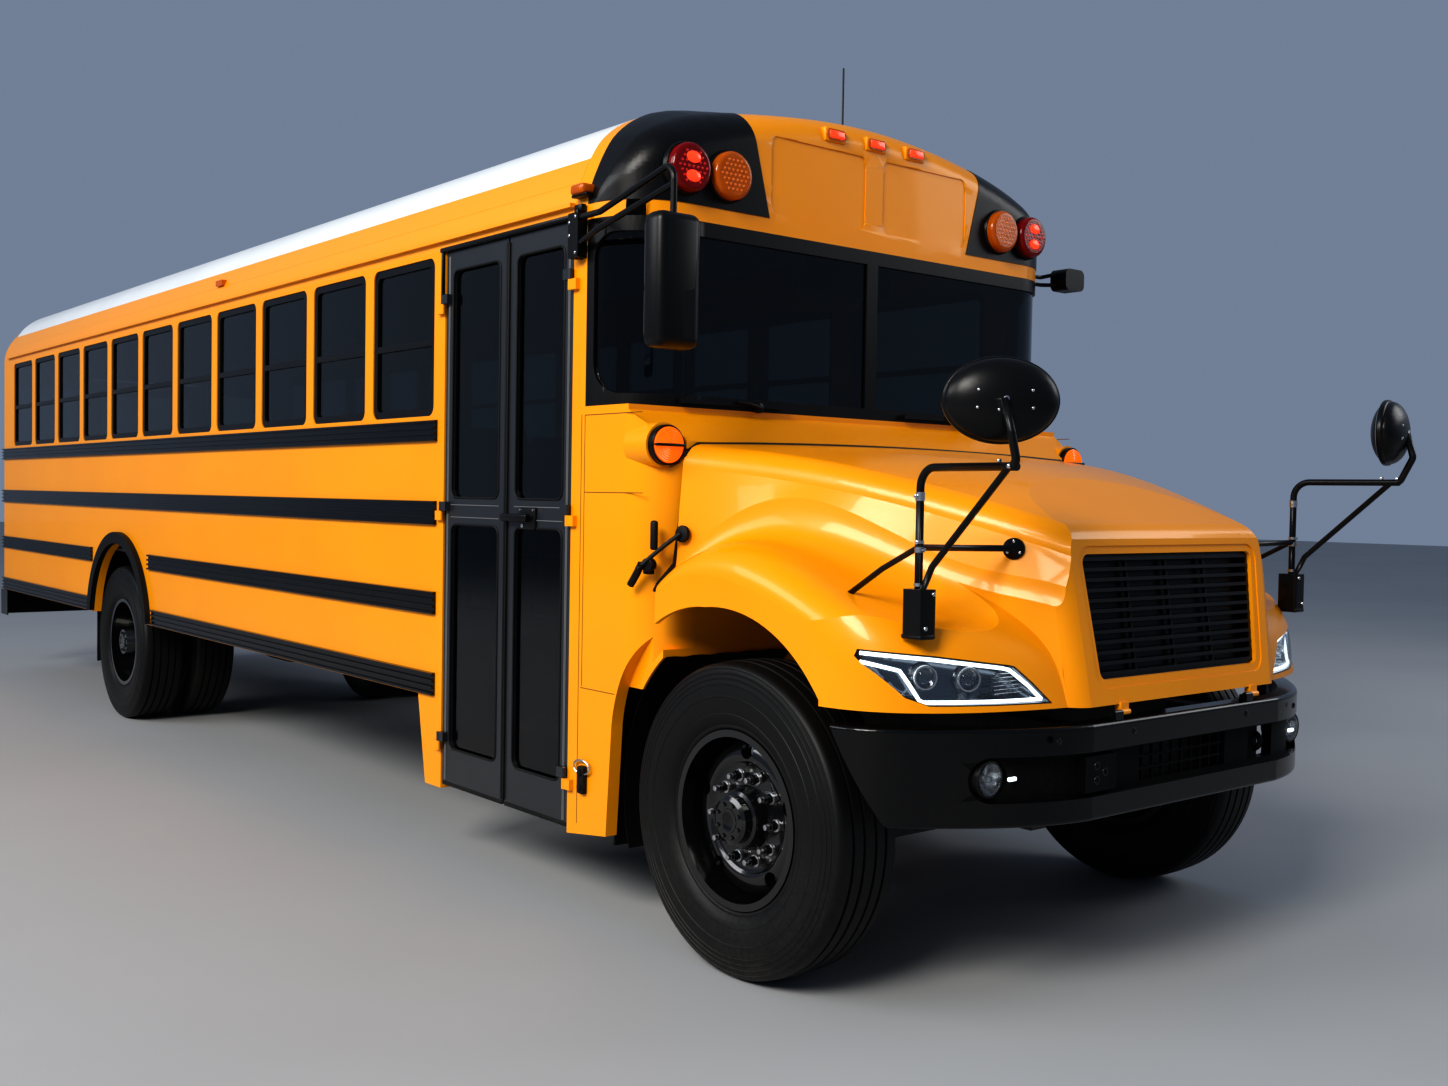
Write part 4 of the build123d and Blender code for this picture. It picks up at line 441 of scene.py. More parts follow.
def drum(r, tall, sides, soft):
    """A short plug from Z 0 up, its top rim rounded."""
    bm = bmesh.new()
    bmesh.ops.create_cone(bm, cap_ends=True, segments=sides, radius1=r, radius2=r, depth=tall)
    bmesh.ops.translate(bm, vec=(0, 0, tall / 2), verts=bm.verts)
    round_edges(bm, [e for e in bm.edges if min(v.co.z for v in e.verts) > tall - 0.01], soft)
    return bm


def dome(r, tall, sides=10, rings=3):
    """A low button, closed underneath."""
    rows = [(tall * math.sin(math.radians(90 * n / rings)), r * math.cos(math.radians(90 * n / rings)))
            for n in range(rings + 1)]
    return turned([(0, 0)] + rows, sides)


def block(low, high, soft=4.0, segments=2):
    """A block between two corners with rounded edges."""
    bm = bmesh.new()
    bmesh.ops.create_cube(bm, size=1)
    low, high = Vector(low), Vector(high)
    bmesh.ops.scale(bm, vec=high - low, verts=bm.verts)
    bmesh.ops.translate(bm, vec=(low + high) / 2, verts=bm.verts)
    round_edges(bm, bm.edges[:], soft, segments)
    return bm


def bar_along(points, r, sides=12, closed=False, smooth=False):
    """A round bar through points."""
    curve = bpy.data.curves.new("way", "CURVE")
    curve.dimensions = "3D"
    curve.bevel_depth = r
    curve.bevel_resolution = sides // 4 - 1
    curve.use_fill_caps = not closed
    spline = curve.splines.new("NURBS" if smooth else "POLY")
    spline.points.add(len(points) - 1)
    for knot, point in zip(spline.points, points):
        knot.co = (*point, 1)
    spline.use_cyclic_u = closed
    if smooth:
        spline.order_u = 3
        spline.use_endpoint_u = not closed
        spline.resolution_u = 6
    way = add_object("way", curve)
    bpy.context.view_layer.update()
    mesh = bpy.data.meshes.new_from_object(way)
    bpy.data.objects.remove(way)
    bm = bmesh.new()
    bm.from_mesh(mesh)
    bpy.data.meshes.remove(mesh)
    bmesh.ops.remove_doubles(bm, verts=bm.verts, dist=0.001)
    bmesh.ops.recalc_face_normals(bm, faces=bm.faces)
    return bm


def round_frame(u0, u1, v0, v1, r, place_uv):
    """Points round a rectangle with round corners; place_uv turns (u, v) into a point."""
    points = []
    corners = ((u1 - r, v1 - r, 0), (u0 + r, v1 - r, 90), (u0 + r, v0 + r, 180), (u1 - r, v0 + r, 270))
    for cu, cv, start in corners:
        for n in range(6):
            turn = math.radians(start + 18 * n)
            points.append(place_uv(cu + r * math.cos(turn), cv + r * math.sin(turn)))
    return points


def merged_copy(node):
    """A CAD node's mesh as a bmesh in millimetres from the front axle, its corners merged."""
    bm = bmesh.new()
    bm.from_mesh(frame["nodes"][node].data)
    bmesh.ops.remove_doubles(bm, verts=bm.verts, dist=1e-6)
    bmesh.ops.translate(bm, vec=(0, -AXLE_Y, 0), verts=bm.verts)
    bmesh.ops.scale(bm, vec=(1 / MM, 1 / MM, 1 / MM), verts=bm.verts)
    return bm


# Tyres: ribbed tread, rounded shoulders and ringed side walls

TYRE_MID_X = 1060
TWIN_PITCH = 343
WHEELBASE = 6590
AXLE_Z = 527
TYRE_HALF = [
    # offset from the tyre's middle, radius, from the bead up to the last groove
    (104, 287), (106, 299), (112, 303), (115, 309), (114, 316), (122, 326), (128, 338), (132, 350),
    (132.5, 353), (131.5, 355), (135.5, 372), (137.5, 392), (138, 406), (139.5, 408), (139.5, 412),
    (138, 414), (137.5, 432), (136, 447), (137.5, 449), (137.5, 452), (135.5, 454), (133.5, 465),
    (135, 467), (135, 470), (132.5, 472), (130.5, 482), (132, 484), (132, 488), (129.5, 490),
    (126.5, 500), (128, 503), (127, 507), (123, 512), (115, 518), (104, 521.5), (76, 524.5), (73, 511),
    (67, 511), (64, 525.2), (31, 526.4), (28, 512.5), (22, 512.5), (19, 526.8),
]
TYRE_ROWS = [
    # row, body, y, middles of its tyres
    ("front", "wheel_front_", 0, (TYRE_MID_X,)),
    ("rear", "wheels_rear_", WHEELBASE, (TYRE_MID_X, TYRE_MID_X - TWIN_PITCH)),
]


def on_axle(x, y, side):
    """Sets a wheel form drawn up +Z so that +Z points outwards on that side."""
    return facing((side * x, y, AXLE_Z), (side, 0, 0))


def build_tyres():
    across = TYRE_HALF + [(-h, r) for h, r in reversed(TYRE_HALF)]
    for side, word in SIDES:
        for row, body, y, middles in TYRE_ROWS:
            treads = [(turned(across, 96, closed=True), on_axle(x, y, side)) for x in middles]
            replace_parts(finish_piece(treads, row + "_tyre_tread_" + word, "tyre", body + word, sharp=28),
                        row + "_tyre_" + word)


# Wheels: pressed disc with hand holes, nuts with long studs, hub cap bolts

HUB_X = 1105
DISC_DEEP_X = 888.5
NUT_RING = 142.9
HAND_RING = 228
HAND_R = 31
DISC_PROFILE = [
    # height from the hub face, radius
    (-34, 273), (-22, 268), (-10, 259), (0, 248), (7, 236), (12, 223), (15, 209), (15, 198), (12, 189),
    (7, 183), (4, 178), (3, 160), (3, 122), (3, 108),
]


def polar(ring, share, height):
    turn = math.radians(share * 360)
    return ring * math.cos(turn), ring * math.sin(turn), height


def open_hand_holes(bm):
    """Cuts five round holes through the disc and turns their edges inwards."""
    for n in range(5):
        x, y, _ = polar(HAND_RING, (n + 0.25) / 5, 0)
        near = lambda v: math.hypot(v.co.x - x, v.co.y - y)
        gone = [f for f in bm.faces if all(near(v) < HAND_R + 5 for v in f.verts)]
        bmesh.ops.delete(bm, geom=gone, context="FACES")
        lip = [e for e in bm.edges if e.is_boundary and all(near(v) < HAND_R + 14 for v in e.verts)]
        for vert in {v for e in lip for v in e.verts}:
            pull = HAND_R / near(vert)
            vert.co.x = x + (vert.co.x - x) * pull
            vert.co.y = y + (vert.co.y - y) * pull
        wall = bmesh.ops.extrude_edge_only(bm, edges=lip)
        bmesh.ops.translate(bm, vec=(0, 0, -16), verts=new_verts(wall))


def wheel_disc():
    bm = turned(DISC_PROFILE, 120)
    if sum(f.normal.z for f in bm.faces) < 0:
        bmesh.ops.reverse_faces(bm, faces=bm.faces)
    open_hand_holes(bm)
    return bm


def build_hub(row, word, body, hub, nut_base, stud_long, cap):
    """Ten nuts with washers and stud ends, and the parts of the hub cap."""
    bright, dark = [], []
    for n in range(10):
        x, y, z = polar(NUT_RING, n / 10, nut_base)
        bright.append((drum(21, 5, 16, 1.5), shift(x, y, z)))
        bright.append((drum(10, stud_long, 10, 2.0), shift(x, y, z + 29)))
        dark.append((drum(17, 24, 6, 2.5), shift(x, y, z + 5)))
    for parts, name, finish in ((bright, "_nut_studs_", BRIGHT_METAL), (dark, "_nuts_", None),
                                (cap, "_hub_bolts_", None)):
        finish_piece([(joined(parts), hub)], row + name + word, "wheel_paint", body, finish)


def build_wheels():
    for side, word in SIDES:
        body, hub = "wheel_front_" + word, on_axle(HUB_X, 0, side)
        finish_piece([(wheel_disc(), hub)], "front_wheel_disc_" + word, "wheel_paint", body)
        cap = [(drum(8, 6, 6, 1.2), shift(*polar(56, (n + 0.5) / 8, 88))) for n in range(8)]
        cap.append(turned([(86, 42), (90, 40), (90, 34), (88, 30), (88, 0)], 32))
        for n in range(6):
            turn = Matrix.Rotation(n * math.pi / 3, 4, "Z")
            cap.append((block((-7, -22, 18), (7, 22, 42)), turn @ shift(88, 0, 0)))
        build_hub("front", word, body, hub, 3, 22, cap)

        cap = [(drum(9, 8, 6, 1.5), shift(*polar(62, (n + 0.5) / 8, 70))) for n in range(8)]
        cap.append(turned([(69, 50), (76, 47), (76, 40), (73, 36), (73, 0)], 32))
        hub = on_axle(HUB_X, WHEELBASE, side)
        build_hub("rear", word, "wheels_rear_" + word, hub, DISC_DEEP_X + 14 - HUB_X, 34, cap)


# Headlamps: cover, dark bowl, light tubes and two projectors behind the lamp opening

TUBE_UPPER = [(1166, 1136), (1011, 1120), (792, 1090), (766, 1084), (706, 1035), (664, 993)]
TUBE_LOWER = [(1168, 1110), (1094, 1087), (1052, 1001), (1042, 995), (800, 993), (664, 993)]
PROJECTORS = ((1012, 1066), (884, 1058))


def lamp_skin():
    """Outer face of the driver's side lamp glass."""
    bm = merged_copy("headlamps")
    bm.normal_update()
    hidden = [f for f in bm.faces if f.normal.y > -0.12 or f.calc_center_median().x < 0]
    bmesh.ops.delete(bm, geom=hidden, context="FACES")
    return bm


def skin_point(tree, x, z, deep):
    """The point behind the lamp skin, seen from the front at x, z."""
    found = tree.ray_cast(Vector((x, -1400, z)), Vector((0, 1, 0)))[0]
    if found is None:
        found = tree.find_nearest(Vector((x, -800, z)))[0]
    return Vector((x, found.y + deep, z))


def dense(points, step=18):
    """The same way with points about a step apart."""
    made = []
    for a, b in zip(points, points[1:]):
        count = max(1, round(math.dist(a, b) / step))
        made += [(a[0] + (b[0] - a[0]) * n / count, a[1] + (b[1] - a[1]) * n / count) for n in range(count)]
    return made + [points[-1]]


def rim_points(skin):
    """The points round the skin's edge, set back a little."""
    first = next(e for e in skin.edges if e.is_boundary)
    loop = list(first.verts)
    while True:
        ways = [e.other_vert(loop[-1]) for e in loop[-1].link_edges if e.is_boundary]
        ahead = [v for v in ways if v is not loop[-2]]
        if not ahead or ahead[0] is loop[0]:
            break
        loop.append(ahead[0])
    return [v.co + Vector((0, 4, 0)) for v in loop]


def lamp_bowl(skin):
    """Side walls and floor behind the lamp skin, drawn in towards the floor."""
    bowl = skin.copy()
    bmesh.ops.translate(bowl, vec=(0, 6, 0), verts=bowl.verts)
    moved = new_verts(bmesh.ops.extrude_face_region(bowl, geom=bowl.faces[:]))
    middle = sum((v.co for v in moved), Vector()) / len(moved)
    for vert in moved:
        vert.co = middle + (vert.co - middle) * 0.93 + Vector((-12, 52, 0))
    front = [f for f in bowl.faces if all(v not in moved for v in f.verts)]
    bmesh.ops.delete(bowl, geom=front, context="FACES")
    bmesh.ops.recalc_face_normals(bowl, faces=bowl.faces)
    bmesh.ops.solidify(bowl, geom=bowl.faces[:], thickness=3)
    return bowl


def build_headlamps():
    skin = lamp_skin()
    tree = BVHTree.FromBMesh(skin)
    cover = skin.copy()
    bmesh.ops.recalc_face_normals(cover, faces=cover.faces)
    if sum(f.normal.y for f in cover.faces) > 0:
        bmesh.ops.reverse_faces(cover, faces=cover.faces)
    bmesh.ops.solidify(cover, geom=cover.faces[:], thickness=2.5)
    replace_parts(finish_piece(cover, "headlamp_covers", "clear_lens", "hood", mirrored=True), "headlamps")
    seal = bar_along(rim_points(skin), 3.2, 8, closed=True)
    finish_piece(seal, "headlamp_seals", "rubber", "hood", mirrored=True)
    finish_piece(lamp_bowl(skin), "headlamp_bowls", "trim_black", "hood", DARK_CHROME, mirrored=True)
    tubes = [bar_along([skin_point(tree, x, z, 17) for x, z in dense(way)], 6)
             for way in (TUBE_UPPER, TUBE_LOWER)]
    finish_piece(tubes, "headlamp_light_tubes", "clear_lens", "hood", LED_WHITE, mirrored=True)

    rings, eyes = [], []
    for x, z in PROJECTORS:
        aim = facing(skin_point(tree, x, z, 62), (0.42, -0.9, 0.0))
        rings.append((turned([(-8, 44), (26, 40), (30, 37), (30, 32), (24, 30), (0, 27)], 32), aim))
        eyes.append((turned([(0, 0), (0, 31), (14, 29), (24, 21), (29, 10), (30, 0)], 24), aim))
    fin_y = skin_point(tree, 765, 1040, 40).y
    for z in range(1012, 1084, 12):
        rings.append((block((700, -10, z), (830, 6, z + 3), 1, 1), shift(0, fin_y, 0)))
    finish_piece(rings, "headlamp_projector_rings", "clear_lens", "hood", BRIGHT_METAL, mirrored=True)
    finish_piece(eyes, "headlamp_projectors", "clear_lens", "hood", mirrored=True)
    skin.free()


# Crossover mirrors: the frame's foot ends above the lamp, with clamps, screws and mirror glass

MIRROR_AT = (1084, 1874)
MIRROR_DEEP = 62
MIRROR_WIDE = 165
MIRROR_TALL = 122
FRONT_TIP = -1150
MIRROR_TURN = {1: 15, -1: 38}
POST_X, POST_Y = 1066, -705
FOOT_Z = 1196
STAY_TURN = math.radians(23.8)
BACK_SCREWS = ((-76, 24), (76, 24), (-74, -24), (74, -24), (18, 30))
POST_RINGS = [
    # foot of the ring, height
    (1592, 26), (1440, 16), (1466, 10), (1340, 10),
]
POST_BOLTS = [
    # bolt's foot, direction
    ((POST_X + 14, POST_Y, 1605), (1, 0, 0)), ((POST_X, POST_Y - 14, 1448), AHEAD),
    ((POST_X + 12, POST_Y - 4, 1470), (1, -0.4, 0)), ((1104, -1030, 1702), (0, 0, 1)),
    ((1107, -1085, 1700), (0, -0.3, 1)), ((1118, -1078, 1690), (1, 0, 0)),
]


def mirror_head_at(side):
    """Matrix from a head's own axes (glass towards +Z) to its place on one side."""
    turn = math.radians(MIRROR_TURN[side])
    deep = MIRROR_DEEP * math.cos(turn)
    reach = max(MIRROR_WIDE * math.sin(turn) + deep * 0.6, deep)
    drawn = (shift(MIRROR_AT[0], FRONT_TIP + reach + 4, MIRROR_AT[1])
             @ Matrix.Rotation(turn, 4, "Z") @ Matrix.Rotation(-math.pi / 2, 4, "X"))
    return flipped(side) @ drawn


def on_dome(x, y):
    """Depth of the domed mirror back at a point."""
    share = 1 - (x / (MIRROR_WIDE - 6)) ** 2 - (y / (MIRROR_TALL - 6)) ** 2
    return -MIRROR_DEEP * math.sqrt(max(share, 0))


def build_crossover_mirrors():
    frames = merged_copy("crossover_mirrors")
    cut = bmesh.ops.bisect_plane(frames, geom=everything(frames), plane_co=(0, 0, FOOT_Z), plane_no=(0, 0, 1),
                                 clear_inner=True)
    bmesh.ops.holes_fill(frames, edges=[g for g in cut["geom_cut"] if isinstance(g, bmesh.types.BMEdge)])
    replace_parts(finish_piece(frames, "crossover_frames", "trim_black", "hood"), "crossover_mirrors")

    glass, screws, clamps, dark = [], [], [], []
    over = Matrix.Rotation(math.pi, 4, "X")
    for side, _ in SIDES:
        flip = flipped(side)
        head = mirror_head_at(side)
        face = turned([(22, 1.0), (25, 0.965), (30, 0.7), (32.5, 0.35), (33, 0)], 48)
        bmesh.ops.scale(face, vec=(MIRROR_WIDE - 9, MIRROR_TALL - 9, 1), verts=face.verts)
        glass.append((face, head))
        for x, y in BACK_SCREWS:
            at = shift(x, y, on_dome(x, y) - 3) @ over
            screws.append((dome(5.5, 5, 8), head @ at @ shift(0, 0, -4)))
        screws.append((drum(9, 12, 8, 2), head @ shift(0, 0, -MIRROR_DEEP + 8) @ over))
        for z, tall in POST_RINGS:
            ring = turned([(0, 11), (0, 14.5), (tall, 14.5), (tall, 11)], 16, True)
            clamps.append((ring, flip @ shift(POST_X, POST_Y, z)))
        for at, aim in POST_BOLTS:
            clamps.append((drum(6.5, 9, 6, 1.5), flip @ facing(at, aim)))
        for x, z in ((POST_X - 20, 1318), (POST_X + 12, 1218)):
            clamps.append((drum(7, 6, 8, 1.5), flip @ facing((x, POST_Y - 40, z), AHEAD)))
        stay = flip @ shift(625, POST_Y, 1447) @ Matrix.Rotation(-STAY_TURN, 4, "Z")
        for n in range(3):
            y, z, x = polar(23, 0.25 + n / 3, 14)
            clamps.append((drum(5, 5, 6, 1), stay @ facing((x, y, z), (1, 0, 0))))
        foot = block((POST_X - 36, POST_Y - 42, FOOT_Z - 12), (POST_X + 32, POST_Y + 40, FOOT_Z + 4), 7)
        dark += [(foot, flip), (drum(20, 10, 20, 3), flip @ facing((1074, -402, 1292), (0.75, 0.2, 0.65)))]
    finish_piece(glass, "crossover_mirror_glass", "glass", "hood", MIRROR_GLASS)
    finish_piece(screws, "crossover_screws", "tank", "hood", BRIGHT_METAL)
    finish_piece(clamps, "crossover_clamps", "tank", "hood", BRIGHT_METAL)
    finish_piece(dark, "crossover_feet", "trim_black", "hood")


# Main mirror: rounded housing with two glasses, bracket straps and a small corner lamp

MIRROR_LOW = (-1452, 78, 2073)
MIRROR_HIGH = (-1272, 182, 2512)


def build_main_mirror():
    bm = block(MIRROR_LOW, MIRROR_HIGH, 34, 4)
    for vert in bm.verts:
        across = (vert.co.x - MIRROR_LOW[0]) / (MIRROR_HIGH[0] - MIRROR_LOW[0])
        up = (vert.co.z - MIRROR_LOW[2]) / (MIRROR_HIGH[2] - MIRROR_LOW[2])
        if vert.co.y < 130:
            vert.co.y -= 9 * math.sin(math.pi * across) * math.sin(math.pi * up)
            vert.co.y += 16 * max(0.0, across - 0.45) * (1 - up)
    finish_piece(bm, "main_mirror_housing", "trim_black", sharp=50)
    glass = [block((-1434, 178, z0), (-1290, 187, z1), 4) for z0, z1 in ((2118, 2262), (2276, 2482))]
    finish_piece(glass, "main_mirror_glass", "glass", finish=MIRROR_GLASS)
    bolts = [(drum(7, 6, 6, 1.5), facing((-1262, y, z), KERBWARD))
             for y, z in ((852, 2486), (852, 2618), (892, 2552), (892, 2600))]
    finish_piece(bolts, "main_mirror_bolts", "tank", finish=BRIGHT_METAL)
    strap = block((-1252, 858, 2466), (-1218, 880, 2650), 5)
    finish_piece([block((-1246, 842, 2640), (-1222, 892, 2668)), strap], "main_mirror_bracket", "trim_black")
    finish_piece(block((-1262, 812, 2702), (-1190, 900, 2740), 12, 3), "corner_lamp", "amber_lens")
    finish_piece(block((-1250, 806, 2694), (-1180, 906, 2706)), "corner_lamp_base", "trim_black")


# Lamp faces: black bezels, small bright points under the lenses, turn lamps and clearance lamps

WARN_PITCH = 20.5
LAMP_FRONT = 562
REAR_FACE = 9890
LAMP_R = 90
LAMP_TALL = 46
TURN_X, TURN_Z = 1153, 1774
ROUND_LAMPS = [
    # x, face y, z, radius, depth, direction, colour
    (780, LAMP_FRONT, 2791, LAMP_R, LAMP_TALL, AHEAD, "amber"),
    (978, LAMP_FRONT, 2791, LAMP_R, LAMP_TALL, AHEAD, "red"),
    (765, REAR_FACE, 2741, LAMP_R, LAMP_TALL, BACK, "amber"),
    (965, REAR_FACE, 2741, LAMP_R, LAMP_TALL, BACK, "red"),
    (1040, REAR_FACE, 1330, 80, 40, BACK, "red"),
    (1040, REAR_FACE, 1130, 60, 36, BACK, "amber"),
]


def build_lamp_faces():
    bezels, glows = [], []
    points = {"amber": [], "red": []}
    for x, y, z, r, tall, along, colour in ROUND_LAMPS:
        aim = facing((x, y, z), along)
        rim = [(-12, r + 8), (6, r + 8), (11, r + 5), (12, r + 2), (11, r - 1), (-12, r - 1)]
        bezels.append((turned(rim, 48, True), aim))
        if colour == "red" and r == LAMP_R:
            for rise in (34, -34):
                glow = dome(27, 5, 20, 3)
                bmesh.ops.scale(glow, vec=(1.25, 0.8, 1), verts=glow.verts)
                glows.append((glow, facing((x, y, z + rise), along) @ shift(0, 0, tall + 1)))
        for row in range(-5, 6):
            for col in range(-5, 6):
                u = (col + 0.5 * (row % 2)) * WARN_PITCH
                v = row * WARN_PITCH * 0.866
                if math.hypot(u, v) < r * 0.78:
                    points[colour].append((dome(6, 3, 8, 2), aim @ shift(u, v, tall - 0.4)))
    finish_piece(glows, "red_lamp_glows", "red_lens", finish=RED_GLOW, mirrored=True)
    finish_piece(bezels, "lamp_bezels", "trim_black", mirrored=True)
    finish_piece(points["amber"], "amber_lamp_points", "amber_lens", finish=AMBER_POINT, mirrored=True)
    finish_piece(points["red"], "red_lamp_points", "red_lens", finish=RED_POINT, mirrored=True)

    ribs = [((5.5 if n % 2 else 3.5) + 0.55 * n, 64 - 4 * n) for n in range(15)]
    lens = (turned([(0, 0), (0, 64)] + ribs + [(13, 0)], 40), facing((TURN_X, 408, TURN_Z), AHEAD))
    finish_piece([lens], "turn_lamp_lenses", "amber_lens", finish=AMBER_LIT, mirrored=True)
    bar = block((TURN_X - 64, 388, TURN_Z - 5), (TURN_X + 64, 412, TURN_Z + 5), 3)
    ring = turned([(0, 65), (0, 72), (24, 72), (27, 69), (25, 65)], 40, True)
    rim = (ring, facing((TURN_X, 436, TURN_Z), AHEAD))
    finish_piece([bar, rim], "turn_lamp_bars", "trim_black", mirrored=True)

    middles = (0, 230, -230)
    finish_piece([block((x - 57, 556, 3013), (x + 57, 600, 3069), 6) for x in middles],
                 "clearance_lamp_bases", "body_paint")
    finish_piece([block((x - 40, 546, 3027), (x + 40, 556, 3056)) for x in middles],
                 "clearance_lamp_glows", "amber_lens", finish=RED_GLOW)


# Entrance door: glass seals, centre seal, edge strips, handle and gutter

DOOR_FACE = -1215
LEAVES = {"door_front": (929, 1401), "door_rear": (1922, 1405)}
LEAF_BAR = 60
LEAF_WINDOWS = ((492, 1462), (1570, 2540))


def build_doors():
    for body, (outer, inner) in LEAVES.items():
        y0, y1 = sorted((outer, inner))
        inwards = 1 if inner > outer else -1
        seals = []
        for z0, z1 in LEAF_WINDOWS:
            inset = LEAF_BAR + 3
            way = round_frame(y0 + inset, y1 - inset, z0 + 3, z1 - 3, 36, lambda u, v: (DOOR_FACE, u, v))
            seals.append(bar_along(way, 5, 8, closed=True))
        near, far = sorted((inner - 11 * inwards, inner + 1.2 * inwards))
        seals.append(block((DOOR_FACE - 9, near, 352), (DOOR_FACE + 20, far, 2600)))
        seals.append(block((DOOR_FACE - 4, y0 + 8, 330), (DOOR_FACE + 24, y1 - 8, 348), 5))
        finish_piece(seals, body + "_seals", "rubber", body)
        strips = []
        for y in (outer + 26 * inwards, outer + 34 * inwards):
            strips.append(block((DOOR_FACE - 3, y - 2, 352), (DOOR_FACE + 3, y + 2, 2602), 1.2, 1))
        for z in (1490, 1542):
            strips.append(block((DOOR_FACE - 3, y0 + 58, z - 2), (DOOR_FACE + 3, y1 - 58, z + 2), 1.2, 1))
        finish_piece(strips, body + "_strips", "trim_black", body, SATIN_GREY)
    finish_piece([block((DOOR_FACE - 12, 1172, 1452), (DOOR_FACE + 6, 1292, 1540), 8, 3),
                  block((DOOR_FACE - 40, 1196, 1484), (DOOR_FACE - 24, 1392, 1514), 7, 3),
                  (drum(16, 30, 16, 3), facing((DOOR_FACE - 4, 1216, 1499), KERBWARD))],
                 "door_handle", "trim_black", "door_front")
    screws = [(drum(9, 4, 14, 1.5), facing((DOOR_FACE - 11, 1262, 1468), KERBWARD))]
    screws += [(drum(5, 3, 8, 1), facing((DOOR_FACE - 11, y, 1530), KERBWARD)) for y in (1184, 1280)]
    finish_piece(screws, "door_lock_screws", "tank", "door_front", BRIGHT_METAL)
    gutter = block((-1236, 905, 2622), (-1208, 1950, 2642), 5)
    finish_piece([gutter, block((-1232, 1928, 2420), (-1216, 1944, 2640))], "door_gutter", "trim_black")


# Cowl and hood side: hood seal, panel seams, vent slots, rubber hood latches and the skirt latch

COWL_FACE = -1219.6
COWL_SEAMS = [
    # y0, y1, z0, z1
    (836, 839, 880, 1892), (470, 836, 1602, 1605), (480, 836, 1888, 1891), (624, 846, 872, 875),
    (858, 861, 360, 1892),
]
LATCH_DISC = Vector((1122, 356, 1462))
LATCH_HOOK = Vector((1236, 470, 1322))
SEAL_MID_Z = 1150


def build_hood_seal():
    """A seal along the hood's rear edge, through the outermost point of each direction."""
    hood = merged_copy("hood")
    back = max(v.co.y for v in hood.verts)
    outer = {}
    for vert in hood.verts:
        if vert.co.y > back - 2.5 and vert.co.z > 1180:
            way = round(math.degrees(math.atan2(vert.co.x, vert.co.z - SEAL_MID_Z)) / 2.5)
            reach = math.hypot(vert.co.x, vert.co.z - SEAL_MID_Z)
            if way not in outer or reach > outer[way][0]:
                outer[way] = (reach, vert.co + Vector((0, 3, 0)))
    hood.free()
    finish_piece(bar_along([outer[way][1] for way in sorted(outer)], 8, 8), "hood_seal", "rubber", "hood")


def build_cowl_details():
    build_hood_seal()
    seams = [block((COWL_FACE - 0.6, y0, z0), (COWL_FACE + 2, y1, z1), 0.4, 1)
             for y0, y1, z0, z1 in COWL_SEAMS]
    finish_piece(seams, "cowl_seams", "body_paint", finish=SEAM_DARK, mirrored=True)
    slot = block((1190, 408, 1404), (1214, 434, 1508), 9, 3)
    turn = Matrix.Rotation(math.radians(-38), 3, "Z")
    bmesh.ops.rotate(slot, cent=(1202, 421, 1456), matrix=turn, verts=slot.verts)
    finish_piece(slot, "hood_vent_slots", "rubber", mirrored=True)
    strap = [LATCH_DISC + Vector((16, 0, 0)), LATCH_DISC.lerp(LATCH_HOOK, 0.4) + Vector((26, 0, 4)),
             LATCH_HOOK + Vector((8, -14, 16))]
    hook = [LATCH_HOOK + Vector((0, -22, 34)), LATCH_HOOK, LATCH_HOOK + Vector((6, 34, -44))]
    disc = (drum(30, 14, 24, 4), facing(LATCH_DISC, (0.98, -0.15, 0.1)))
    finish_piece([disc, bar_along(strap, 9, 8, smooth=True), bar_along(hook, 14, 8, smooth=True)],
                 "hood_latch_straps", "rubber", "hood", mirrored=True)
    catch = (drum(24, 30, 20, 4), facing((1196, 446, 1352), (0.86, -0.35, 0)))
    finish_piece([catch, block((1190, 430, 1318), (1214, 470, 1346))],
                 "hood_latch_catches", "trim_black", mirrored=True)
    latch = [block((-1240, 792, 480), (-1214, 832, 584), 7, 3)]
    latch += [(drum(12, 8, 16, 2), facing((-1238, 812, z), KERBWARD)) for z in (560, 506)]
    finish_piece(latch, "skirt_latch", "rubber")
    loop = [(-1232, 812 + 52 * math.cos(math.radians(t)), 580 + 26 * math.sin(math.radians(t)))
            for t in range(0, 360, 24)]
    finish_piece(bar_along(loop, 4, 8, closed=True), "skirt_latch_ring", "tank", finish=BRIGHT_METAL)


# Arch liners and painted shade: ribbed black plastic behind each front tyre, on the cowl's own arch; partly
# the real liner, partly painted shade over the arch inside

ARCH_SHEET_R = 637
ARCH_SHEET_X = 562
RIB_STEP = 40
RIB_DEEP = 4
ARCH_SHEET_TURNS = [math.radians(t) for t in range(-20, 56, 4)]


def sheet(rows, keep=lambda middle: True):
    """Faces between rows of points, where keep holds for a face's middle."""
    bm = bmesh.new()
    grid = [[bm.verts.new(point) for point in row] for row in rows]
    for near, far in zip(grid, grid[1:]):
        for n in range(len(near) - 1):
            if keep((near[n].co + far[n + 1].co) / 2):
                bm.faces.new((near[n], far[n], far[n + 1], near[n + 1]))
    bmesh.ops.recalc_face_normals(bm, faces=bm.faces)
    return bm


def build_arch_liners_and_shade():
    rows = []
    for n in range(16):
        r = ARCH_SHEET_R - (RIB_DEEP if n % 3 == 1 else 0)
        rows.append([(ARCH_SHEET_X + n * RIB_STEP, r * math.cos(t), AXLE_Z + r * math.sin(t)) for t in ARCH_SHEET_TURNS])
    # Partly the real black liner, partly painted shade where the arch inside is only in shadow
    liner_and_shade = sheet(rows)
    bmesh.ops.solidify(liner_and_shade, geom=liner_and_shade.faces[:], thickness=2)
    finish_piece(liner_and_shade, "front_arch_liners_and_shade", "trim_black", mirrored=True)
